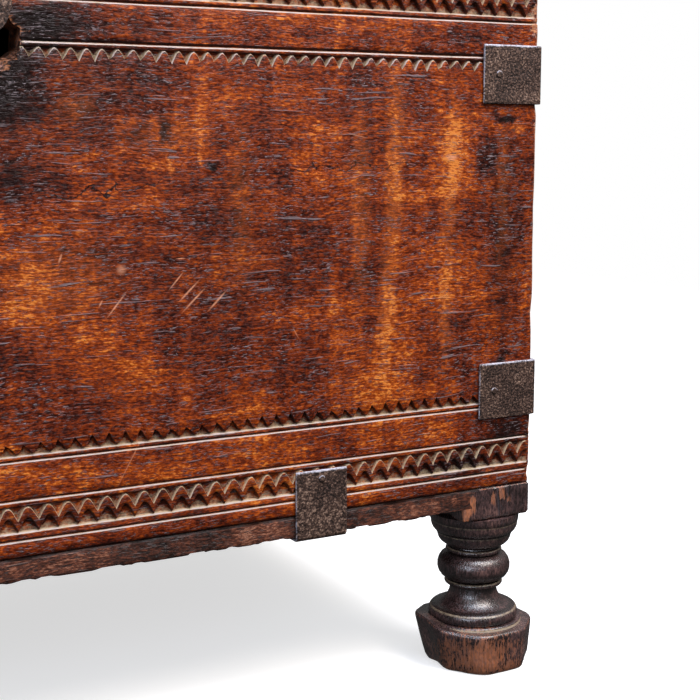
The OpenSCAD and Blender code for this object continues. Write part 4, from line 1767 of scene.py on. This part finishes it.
@dataclass(frozen=True)
class BentStrap:
    """Strap of thin iron bent square round a corner.

    Args:
        node: CAD node that it stands for.
        across: Axis that the strap is wide along.
        thickness: Thickness of the iron.
        bend: Outer radius of the bend.
        seed: Seed of its unevenness.
    """

    node: str
    across: Axis
    thickness: float = 2.0
    bend: float = 3.0
    seed: float = 0.0

    def build(self, iron: bpy.types.Material) -> None:
        """Builds the strap.

        Args:
            iron: Its finish.
        """
        low, high = node_box(self.node)
        left, front = low.x + high.x < 0, low.y + high.y < 0
        lengths = (high.x - low.x, high.y - low.y, high.z - low.z)
        corner = Vector((low.x if left else high.x, low.y if front else high.y, low.z))
        first = Vector((1.0 if left else -1.0, 0.0, 0.0))
        second = Vector((0.0, 1.0 if front else -1.0, 0.0))
        wide = Vector((0.0, 0.0, 1.0))
        if self.across is Axis.X:
            lengths = lengths[::-1]
            corner.x = low.x
            first, wide = wide, Vector((1.0, 0.0, 0.0))

        def bent(place: Vector) -> Vector:
            """Bends the strap.

            Args:
                place: Place on the flat strap, from the corner.

            Returns:
                The place once the strap is bent.
            """
            s, t, w = place
            if s < -self.bend:
                spot = corner - first * s + second * t
            elif s > self.bend:
                spot = corner + second * s + first * t
            else:
                turn = math.pi / 2 * (s + self.bend) / (2 * self.bend)
                centre = corner + (first + second) * self.bend
                spot = centre - (second * math.cos(turn) + first * math.sin(turn)) * (self.bend - t)
            return spot + wide * w

        flat = (Vector((-lengths[0], 0.0, 0.0)), Vector((lengths[1], self.thickness, lengths[2])))
        wear_and_highlight = {"round_off": 0.7, "step": 1.3, "lumps": 0.15, "edge_wear": 0.9, "bare_edge": 0.45}
        shell = Block(*flat, seed=self.seed, **wear_and_highlight).build(bent)
        # Painted highlight along the strap's upper edge, and a weaker one along its leftmost edge
        for number, place in enumerate(shell.points):
            if place.z > high.z - 1.0 or place.x < low.x + 0.4:
                rubbed_and_highlit = 0.95 if place.z > high.z - 1.0 else 0.75
                shell.wear_and_highlight[number] = rubbed_and_highlit + 0.5 * wobble(place, 6.0, self.seed)
        mesh, shift = shell.mesh(self.node), 61.0 * self.seed
        add_piece("forged_" + self.node, mesh, iron, Body.CHEST, (self.node,), shift)


def nail_tree(iron: bpy.types.Material) -> Tree:
    """Builds the tree that sets a hammered nail on each point, turned as the point's "turn" says.

    Args:
        iron: Finish of the nails.

    Returns:
        The tree.
    """
    lengths = ("Head radius", "Head rise", "Shank radius", "Shank length")
    tree, source = new_tree("nails", {**dict.fromkeys(lengths, "NodeSocketFloat"), "Seed": "NodeSocketInt"})
    radius, rise, shank_radius, shank_length = (source.outputs[name] for name in lengths)
    ball = add_node(tree, "GeometryNodeMeshUVSphere", {"Segments": 18, "Rings": 9}, {"Radius": radius})
    squash = add_node(tree, "ShaderNodeMath", {"operation": "DIVIDE"}, {0: rise, 1: radius})
    flatness = add_node(tree, "ShaderNodeCombineXYZ", {"X": 1.0, "Y": 1.0}, {"Z": squash})
    head = add_node(tree, "GeometryNodeTransform", {}, {"Geometry": ball, "Scale": flatness})
    ends = {"Radius Top": shank_radius, "Radius Bottom": shank_radius, "Depth": shank_length}
    shank = add_node(tree, "GeometryNodeMeshCone", {"Vertices": 8}, ends)
    down = add_node(tree, "ShaderNodeMath", {"operation": "MULTIPLY", 1: -1.0}, {0: shank_length})
    below = add_node(tree, "ShaderNodeCombineXYZ", {}, {"Z": down})
    lowered = add_node(tree, "GeometryNodeTransform", {}, {"Geometry": shank, "Translation": below})
    nail = add_node(tree, "GeometryNodeJoinGeometry", {}, {"Geometry": head})
    tree.links.new(lowered.outputs[0], nail.inputs[0])
    turn = add_node(tree, "GeometryNodeInputNamedAttribute", {"data_type": "FLOAT_VECTOR", "Name": "turn"})
    from_to = {"data_type": "FLOAT", 2: 0.88, 3: 1.0}
    seeded = {"Seed": source.outputs["Seed"]}
    size = add_node(tree, "FunctionNodeRandomValue", from_to, seeded).outputs[1]
    flat_size = add_node(tree, "ShaderNodeCombineXYZ", {"Z": 1.0}, {"X": size, "Y": size})
    points = add_node(tree, "GeometryNodeMeshToPoints", {}, {"Mesh": source})
    links = {"Points": points, "Instance": nail, "Rotation": turn, "Scale": flat_size}
    return end_tree(tree, add_node(tree, "GeometryNodeInstanceOnPoints", {}, links), iron)


@dataclass(frozen=True)
class Nails:
    """Nails of one CAD node, each with a flat hammered head.

    Args:
        node: CAD node that holds the nails as separate solids.
        body: Body that they move with.
        head_r: Radius of the head.
        head_rise: Rise of the head.
        shank_r: Radius of the shank.
        seed: Seed of their sizes.
    """

    node: str
    body: Body
    head_r: float = 2.5
    head_rise: float = 0.75
    shank_r: float = 1.4
    seed: int = 1

    def build(self, iron: bpy.types.Material, tree: Tree) -> None:
        """Builds the nails.

        Args:
            iron: Their finish.
            tree: The tree that sets nails on points.
        """
        places, turns, length = self._places()
        points = bpy.data.meshes.new(self.node)
        points.from_pydata([p * MM for p in places], [], [])
        turn = points.attributes.new("turn", "FLOAT_VECTOR", "POINT")
        turn.data.foreach_set("vector", [v for euler in turns for v in euler])
        blank = bpy.data.objects.new("nail_points", points)
        bpy.context.scene.collection.objects.link(blank)
        settings = {
            "Head radius": self.head_r * MM,
            "Head rise": self.head_rise * MM,
            "Shank radius": self.shank_r * MM,
            "Shank length": (length - self.head_rise - 0.3) * MM,
            "Seed": self.seed,
        }
        mesh = run_tree(blank, tree, settings)
        # Painted highlight on the upper half of each head's rim and painted shade under its lower half; the
        # rest of the head is darkened a little
        painted_highlight, painted_shade, dull = 0.95, -0.9, -0.35
        wear_and_highlight, dust_and_painted_light = [], []
        for vert in mesh.vertices:
            out = min((vert.co / MM - place for place in places), key=lambda way: way.length)
            at_rim = 0.7 * self.head_r < out.length < 1.1 * self.head_r
            wear_and_highlight.append(painted_highlight if at_rim and out.z > 0.0 else 0.0)
            dust_and_painted_light.append(painted_shade if at_rim and out.z <= 0.0 else dull)
        mesh.attributes.new("wear_and_highlight", "FLOAT", "POINT").data.foreach_set("value", wear_and_highlight)
        mesh.attributes.new("dust_and_painted_light", "FLOAT", "POINT").data.foreach_set("value", dust_and_painted_light)
        shift = 17.0 * self.seed
        add_piece("hammered_" + self.node, mesh, iron, self.body, (self.node,), shift)

    def _places(self) -> tuple[list[Vector], list[Euler], float]:
        """Finds how the nails lie.

        Returns:
            Place of each head, way that it faces, and length of a nail.
        """
        places, turns, length = [], [], 0.0
        for spots in self._solids():
            low = Vector(min(p[a] for p in spots) for a in range(3))
            high = Vector(max(p[a] for p in spots) for a in range(3))
            size, middle = high - low, (low + high) / 2
            axis = max(range(3), key=lambda a: size[a])
            across = [a for a in range(3) if a != axis]
            length = size[axis]
            widths = [
                max(
                    math.hypot(*(p[a] - middle[a] for a in across))
                    for p in spots
                    if abs(p[axis] - end) < 1.2 * self.head_rise
                )
                for end in (low[axis], high[axis])
            ]
            towards = 1.0 if widths[1] > widths[0] else -1.0
            facing = Vector((0.0, 0.0, 0.0))
            facing[axis] = towards
            place = middle.copy()
            place[axis] = (high if towards > 0 else low)[axis] - towards * self.head_rise
            places.append(place)
            turns.append(facing.to_track_quat("Z", "Y").to_euler())
        return places, turns, length

    def _solids(self) -> list[list[Vector]]:
        """Takes the CAD node apart into its separate nails.

        Returns:
            The points of each nail, in millimetres.
        """
        solid = bmesh.new()
        solid.from_mesh(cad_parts[self.node].data)
        bmesh.ops.remove_doubles(solid, verts=solid.verts, dist=WELD)
        left, nails = set(solid.verts), []
        for first in solid.verts:
            if first not in left:
                continue
            left.discard(first)
            nail = [first]
            for vert in nail:
                others = [link.other_vert(vert) for link in vert.link_edges]
                fresh = [other for other in others if other in left]
                left.difference_update(fresh)
                nail += fresh
            nails.append([vert.co / MM for vert in nail])
        solid.free()
        return nails


# ---- Studio ----


@dataclass(frozen=True)
class Lamp:
    """Soft rectangular lamp.

    Args:
        place: Where it hangs.
        target: Where it points.
        size: Its width and height.
        power: Its power in watts.
        colour: Its hex colour.
    """

    place: Vector
    target: Vector
    size: Pair
    power: float
    colour: str = "#ffffff"

    def build(self) -> bpy.types.Object:
        """Hangs the lamp.

        Returns:
            The lamp.
        """
        light = bpy.data.lights.new("softbox", "AREA")
        light.shape = "RECTANGLE"
        light.size, light.size_y = self.size[0] * MM, self.size[1] * MM
        light.energy = self.power
        light.color = linear(self.colour)[:3]
        lamp = bpy.data.objects.new("softbox", light)
        lamp.location = self.place * MM
        lamp.rotation_euler = (self.target - self.place).to_track_quat("-Z", "Y").to_euler()
        bpy.context.scene.collection.objects.link(lamp)
        return lamp


@dataclass(frozen=True)
class Studio:
    """White studio: pale floor, white surround, lamps and the camera.

    Args:
        lamps: The lamps.
        horizon: Light from the surround at the horizon and below it.
        zenith: Light from straight above.
        eye: Place of the camera.
        ahead: Direction that it looks in.
        lens: Focal length for a 36 mm sensor.
        floor_glow: Light that the floor gives off itself, so that its shadows stay pale.
    """

    lamps: tuple[Lamp, ...]
    horizon: float = 0.08
    zenith: float = 0.62
    eye: Vector = Vector((-183.4, -963.3, 369.2))
    ahead: Vector = Vector((0.48426, 0.86131, -0.15371))
    lens: float = 69.43
    floor_glow: float = 0.62

    def build(self) -> None:
        """Builds the studio round the box."""
        scene = bpy.context.scene
        scene.view_settings.view_transform = "Standard"
        scene.view_settings.look = "None"
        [lamp.build() for lamp in self.lamps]
        self._floor()
        self._camera()
        world = bpy.data.worlds.new("surround")
        world.use_nodes = True
        tree = world.node_tree
        towards = add_node(tree, "ShaderNodeTexCoord").outputs["Generated"]
        height = add_node(tree, "ShaderNodeSeparateXYZ", {}, {"Vector": towards}).outputs["Z"]
        light = add_node(
            tree,
            "ShaderNodeMapRange",
            {"From Min": -0.05, "To Min": self.horizon, "To Max": self.zenith},
            {"Value": height},
        )
        seen = add_node(tree, "ShaderNodeLightPath").outputs["Is Camera Ray"]
        strength = add_node(tree, "ShaderNodeMath", {"operation": "MAXIMUM"}, {0: light, 1: seen})
        back = tree.nodes["Background"]
        back.inputs["Color"].default_value = (1.0, 1.0, 1.0, 1.0)
        tree.links.new(strength.outputs[0], back.inputs["Strength"])
        scene.world = world

    def _floor(self) -> bpy.types.Object:
        """Lays the floor.

        Returns:
            The floor.
        """
        bpy.ops.mesh.primitive_plane_add(size=4.4, location=(0.0, 0.0, -0.0005))
        floor = bpy.context.object
        floor.name = "studio_floor"
        floor.visible_diffuse = False
        floor.visible_glossy = False
        # Matt white paper, lit a little from within so that shadows on it stay light grey
        material = bpy.data.materials.new("white_paper")
        material.use_nodes = True
        surface = material.node_tree.nodes["Principled BSDF"]
        surface.inputs["Base Color"].default_value = (0.62, 0.62, 0.62, 1.0)
        surface.inputs["Roughness"].default_value = 1.0
        surface.inputs["Specular IOR Level"].default_value = 0.0
        surface.inputs["Emission Color"].default_value = (1.0, 1.0, 1.0, 1.0)
        surface.inputs["Emission Strength"].default_value = self.floor_glow
        floor.data.materials.append(material)
        return floor

    def _camera(self) -> bpy.types.Object:
        """Places the camera.

        Returns:
            The camera.
        """
        view = bpy.data.cameras.new("camera")
        view.lens = self.lens
        view.sensor_width = 36.0
        view.clip_start = 0.01
        view.clip_end = 100.0
        camera = bpy.data.objects.new("camera", view)
        camera.location = self.eye * MM
        camera.rotation_euler = self.ahead.to_track_quat("-Z", "Y").to_euler()
        bpy.context.scene.collection.objects.link(camera)
        bpy.context.scene.camera = camera
        return camera


# ---- The whole box ----


CORNERS = ("front_left", "front_right", "back_left", "back_right")

# Where each leg is worn to the bare wood
WORN_SPOTS = (
    Spot(64, 70, 8, 6),
    Spot(48, 97, 9, 4),
    Spot(-43, 120, 4, 14, 1.3),
    Spot(-36, 121, 2.6, 10, 0.9),
    Spot(8, 126, 3, 7, 0.8),
    Spot(20, 123, 2.6, 6, 0.75),
    Spot(-7, 124, 2.6, 8, 0.8),
    Spot(-64, 8, 14, 16, 0.6),
    Spot(-24, 12, 17, 18, 0.92),
    Spot(-30, 10, 46, 30, 0.66),
    Spot(10, 3, 18, 7, 0.8),
    Spot(18, 20, 10, 7, 0.55),
    Spot(48, 8, 5, 6, 0.6),
)

# Marks on the front of the box
STAINS = (
    Patch(38, 432, 46, 22),
    Patch(10, 400, 56, 50),
    Patch(60, 400, 80, 60, 0, 0.35),
    Patch(150, 300, 90, 60, 0, 0.2),
    Patch(10, 352, 62, 26, 0, 0.45),
    Patch(112, 375, 5, 10, 0, 0.8),
    Patch(142, 354, 5, 5, 20, 0.8),
    Patch(353, 384, 14, 6, 0, 0.9),
    Patch(354, 224, 16, 5, -8, 0.7),
    Patch(360, 171, 30, 14, 0, 0.6),
    Patch(340, 356, 16, 26, 0, 0.55),
    Patch(354, 300, 22, 100, 0, 0.45),
    Patch(70, 340, 64, 0.7, -4, 0.9),
    Patch(230, 352, 90, 0.7, -2, 0.7),
    Patch(90, 434, 26, 10, 0, 0.4),
    Patch(330, 146, 90, 20, 0, 0.3),
)
GLOWS = (
    Patch(268, 350, 10, 95, 2, 0.8),
    Patch(262, 260, 8, 85, 3, 0.7),
    Patch(311, 350, 9, 70, 2, 0.9),
    Patch(308, 270, 7, 70, 1, 0.7),
    Patch(242, 330, 10, 90, 0, 0.5),
    Patch(352, 330, 7, 75, 0, 0.5),
    Patch(365, 378, 10, 8, 0, 0.6),
    Patch(159, 330, 10, 70, 0, 0.4),
    Patch(115, 354, 3, 14, -4, 0.9),
    Patch(134, 357, 3, 8, -6, 0.8),
    Patch(60, 388, 16, 12, 0, 0.6),
    Patch(45, 290, 55, 35, 0, 0.35),
    Patch(115, 372, 40, 14, 0, 0.4),
)
SCRATCHES = (
    Patch(79.5, 274.5, 0.8, 12, 40),
    Patch(125, 280.5, 0.9, 12, 47),
    Patch(128, 275, 0.9, 13, 47),
    Patch(143, 273.5, 1.0, 11, 46),
    Patch(117, 287, 0.7, 9, 42),
    Patch(83, 295, 4, 4, 0, 0.7),
    Patch(47, 303, 1.0, 4, 20),
    Patch(70, 276, 0.8, 3, 30),
    Patch(311, 358, 6, 2.5, 0, 1.0),
    Patch(86, 182, 0.6, 26, 30, 0.5),
    Patch(120, 300, 4, 0.5, 0),
    Patch(240, 372, 9, 0.5, 12, 0.7),
    Patch(196, 250, 0.5, 6, -30, 0.6),
)
CHIPS = (
    Patch(378, 456, 5.5, 7, 0, 1.3),
    Patch(377, 443, 6, 9, 10, 1.3),
    Patch(379, 378, 3.5, 4, 0, 1.2),
    Patch(378, 140, 5, 8, 0, 1.0),
    Patch(379, 310, 1.6, 30, 0, 0.5),
    Patch(379, 250, 1.6, 14, 0, 0.5),
)

# Polished hardwood of the carved front: red-brown clouds, pale ripples and waxed pores with painted glints
CARVED_WOOD = Wood(
    "waxed_carved_hardwood",
    ("#210b08", "#3b140a", "#5b200c", "#79300e", "#9e4611", "#ca7731"),
    raw="#b9784f",
    roughness=0.3,
    shine=0.18,
    stains=STAINS,
    glows=GLOWS,
    scratches=SCRATCHES,
    chips=CHIPS,
)
# The same hardwood on the other boards, duller and browner
BOARD_WOOD = Wood(
    "waxed_plain_hardwood",
    ("#24120d", "#3c1c12", "#582816", "#6f3519", "#8a4821", "#a9642f"),
    roughness=0.48,
)
SIDE_WOOD = replace(BOARD_WOOD, name="waxed_side_hardwood", grain=Axis.Y)
# The lid: the plain hardwood in darker tones, painted shade against the strong light on its top, and duller
SHADED_LID_WOOD = Wood(
    "shaded_lid_hardwood",
    ("#1c0d09", "#2f150d", "#472011", "#5c2b14", "#763c1b", "#95572a"),
    roughness=0.55,
    shine=0.1,
)
# Smoked and scuffed hardwood of the base rails
RAIL_WOOD = Wood(
    "scuffed_dark_hardwood",
    ("#100807", "#1e110d", "#311b14", "#47261b", "#633726", "#8e5f49"),
    raw="#8f4f3c",
    glint_and_fibre="#8b827e",
    pores=0.8,
    roughness=0.55,
)
SIDE_RAIL_WOOD = replace(RAIL_WOOD, name="scuffed_dark_side_hardwood", grain=Axis.Y)
# Near-black turned hardwood of the legs, glossy with handling and worn to orange in spots
LEG_WOOD = Wood(
    "handled_turned_hardwood",
    ("#150e0e", "#211716", "#312322", "#43302f", "#573f3b", "#7d5c52"),
    grain=Axis.Z,
    raw="#a5623c",
    glint_and_fibre="#8f8a94",
    pores=0.25,
    roughness=0.22,
    shine=0.9,
    relief=0.3,
)
# Dry unfinished wood inside the box
INNER_WOOD = Wood(
    "dry_inner_wood",
    ("#3a2619", "#553923", "#6e4c30", "#85603e", "#9a734d", "#b28c62"),
    pores=0.3,
    roughness=0.7,
)
# Forged iron gone brown, with tan specks of rust
BROWN_IRON = Iron("brown_forged_iron", ("#1a1310", "#30231e", "#46342c", "#614b40", "#907766"))

FINISHES = {
    "carved": CARVED_WOOD,
    "board": BOARD_WOOD,
    "side": SIDE_WOOD,
    "lid": SHADED_LID_WOOD,
    "rail": RAIL_WOOD,
    "side_rail": SIDE_RAIL_WOOD,
    "leg": LEG_WOOD,
    "inner": INNER_WOOD,
    "iron": BROWN_IRON,
}


@dataclass(frozen=True)
class Chest:
    """The standing part: boards, base, legs and the iron on them."""

    def build(self, finishes: dict[str, bpy.types.Material], nails: Tree) -> None:
        """Builds the chest.

        Args:
            finishes: Materials by name.
            nails: Tree that sets nails on points.
        """
        FrontBoard(*node_box("front_board")).build(finishes["carved"])
        PlainBoards(("back_board",), Body.CHEST, "carved_hardwood", step=16.0).build(finishes["board"])
        sides = ("left_side_board", "right_side_board")
        PlainBoards(sides, Body.CHEST, "carved_hardwood").build(finishes["side"])
        planks = tuple(f"{place}_bottom_plank" for place in ("front", "middle", "back"))
        PlainBoards(planks, Body.CHEST, "bare_wood", step=24.0).build(finishes["inner"])
        # The rails get painted shade on their tops and ends, where they meet the board and the legs
        scuffed = {"round_off": 1.8, "edge_wear": 2.8, "lumps": 0.6, "dust_and_shade_above": -0.9, "ragged": 3.4}
        for ends, step, wood in ((("front", "back"), 2.8, "rail"), (("left", "right"), 4.0, "side_rail")):
            rails = tuple(f"{end}_rail" for end in ends)
            PlainBoards(rails, Body.CHEST, "dark_hardwood", step=step, **scuffed).build(finishes[wood])
        lathe = lathe_tree(finishes["leg"])
        for number, corner in enumerate(CORNERS):
            Leg(corner + "_leg", 2.0 + 3.0 * number, WORN_SPOTS).build(finishes["leg"], lathe)
            for place, across in (("upper", Axis.Z), ("lower", Axis.Z), ("base", Axis.X)):
                seed = 1.0 + number * 3.1 + len(place)
                BentStrap(f"{corner}_{place}_strap", across, seed=seed).build(finishes["iron"])
        for number, node in enumerate(("corner_strap", "base_strap", "hinge_leaf", "bottom_plank")):
            Nails(node + "_nails", Body.CHEST, seed=3 + number).build(finishes["iron"], nails)
        iron_parts = ("left_hinge_leaf", "right_hinge_leaf", "left_hinge_pin", "right_hinge_pin")
        CopiedParts(iron_parts, Body.CHEST, "forged_iron", 0.5).build(finishes["iron"])


@dataclass(frozen=True)
class Lid:
    """The hinged lid with its coin slot, hinge straps and hasp leaf."""

    def build(self, finishes: dict[str, bpy.types.Material], nails: Tree) -> None:
        """Builds the lid.

        Args:
            finishes: Materials by name.
            nails: Tree that sets nails on points.
        """
        planks = ("lid_front_plank", "lid_middle_plank", "lid_back_plank")
        CopiedParts(planks, Body.LID, "carved_hardwood", 1.4, 0.1).build(finishes["lid"])
        battens = ("left_lid_batten", "right_lid_batten")
        CopiedParts(battens, Body.LID, "bare_wood", 1.4).build(finishes["side"])
        iron_parts = ("left_hinge_strap", "right_hinge_strap", "coin_slot_plate", "hasp_leaf", "hasp_pin")
        CopiedParts(iron_parts, Body.LID, "forged_iron", 0.5).build(finishes["iron"])
        for number, node in enumerate(("batten", "hinge_strap", "coin_slot", "hasp_leaf")):
            Nails(node + "_nails", Body.LID, seed=13 + number).build(finishes["iron"], nails)


@dataclass(frozen=True)
class Hasp:
    """The hanging hasp."""

    def build(self, finishes: dict[str, bpy.types.Material]) -> None:
        """Builds the hasp in the given finishes."""
        CopiedParts(("hasp",), Body.HASP, "forged_iron", 0.6).build(finishes["iron"])


def main() -> None:
    """Builds the box and the studio."""
    logging.basicConfig(level=logging.INFO, format="%(message)s")
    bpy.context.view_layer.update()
    finishes = {name: finish.build() for name, finish in FINISHES.items()}
    nails = nail_tree(finishes["iron"])
    Chest().build(finishes, nails)
    Lid().build(finishes, nails)
    Hasp().build(finishes)
    middle = Vector((100.0, 0.0, 200.0))
    Studio(
        lamps=(
            Lamp(Vector((300.0, -600.0, 1900.0)), middle, (1500.0, 1200.0), 50.0, "#dfe9ff"),
            Lamp(Vector((900.0, -1500.0, 2100.0)), middle, (1100.0, 1100.0), 66.0, "#fff6ee"),
            Lamp(Vector((-1600.0, -1900.0, 1000.0)), middle, (900.0, 900.0), 28.0, "#e4ecff"),
        )
    ).build()
    bpy.context.view_layer.update()


if __name__ == "__main__":
    main()
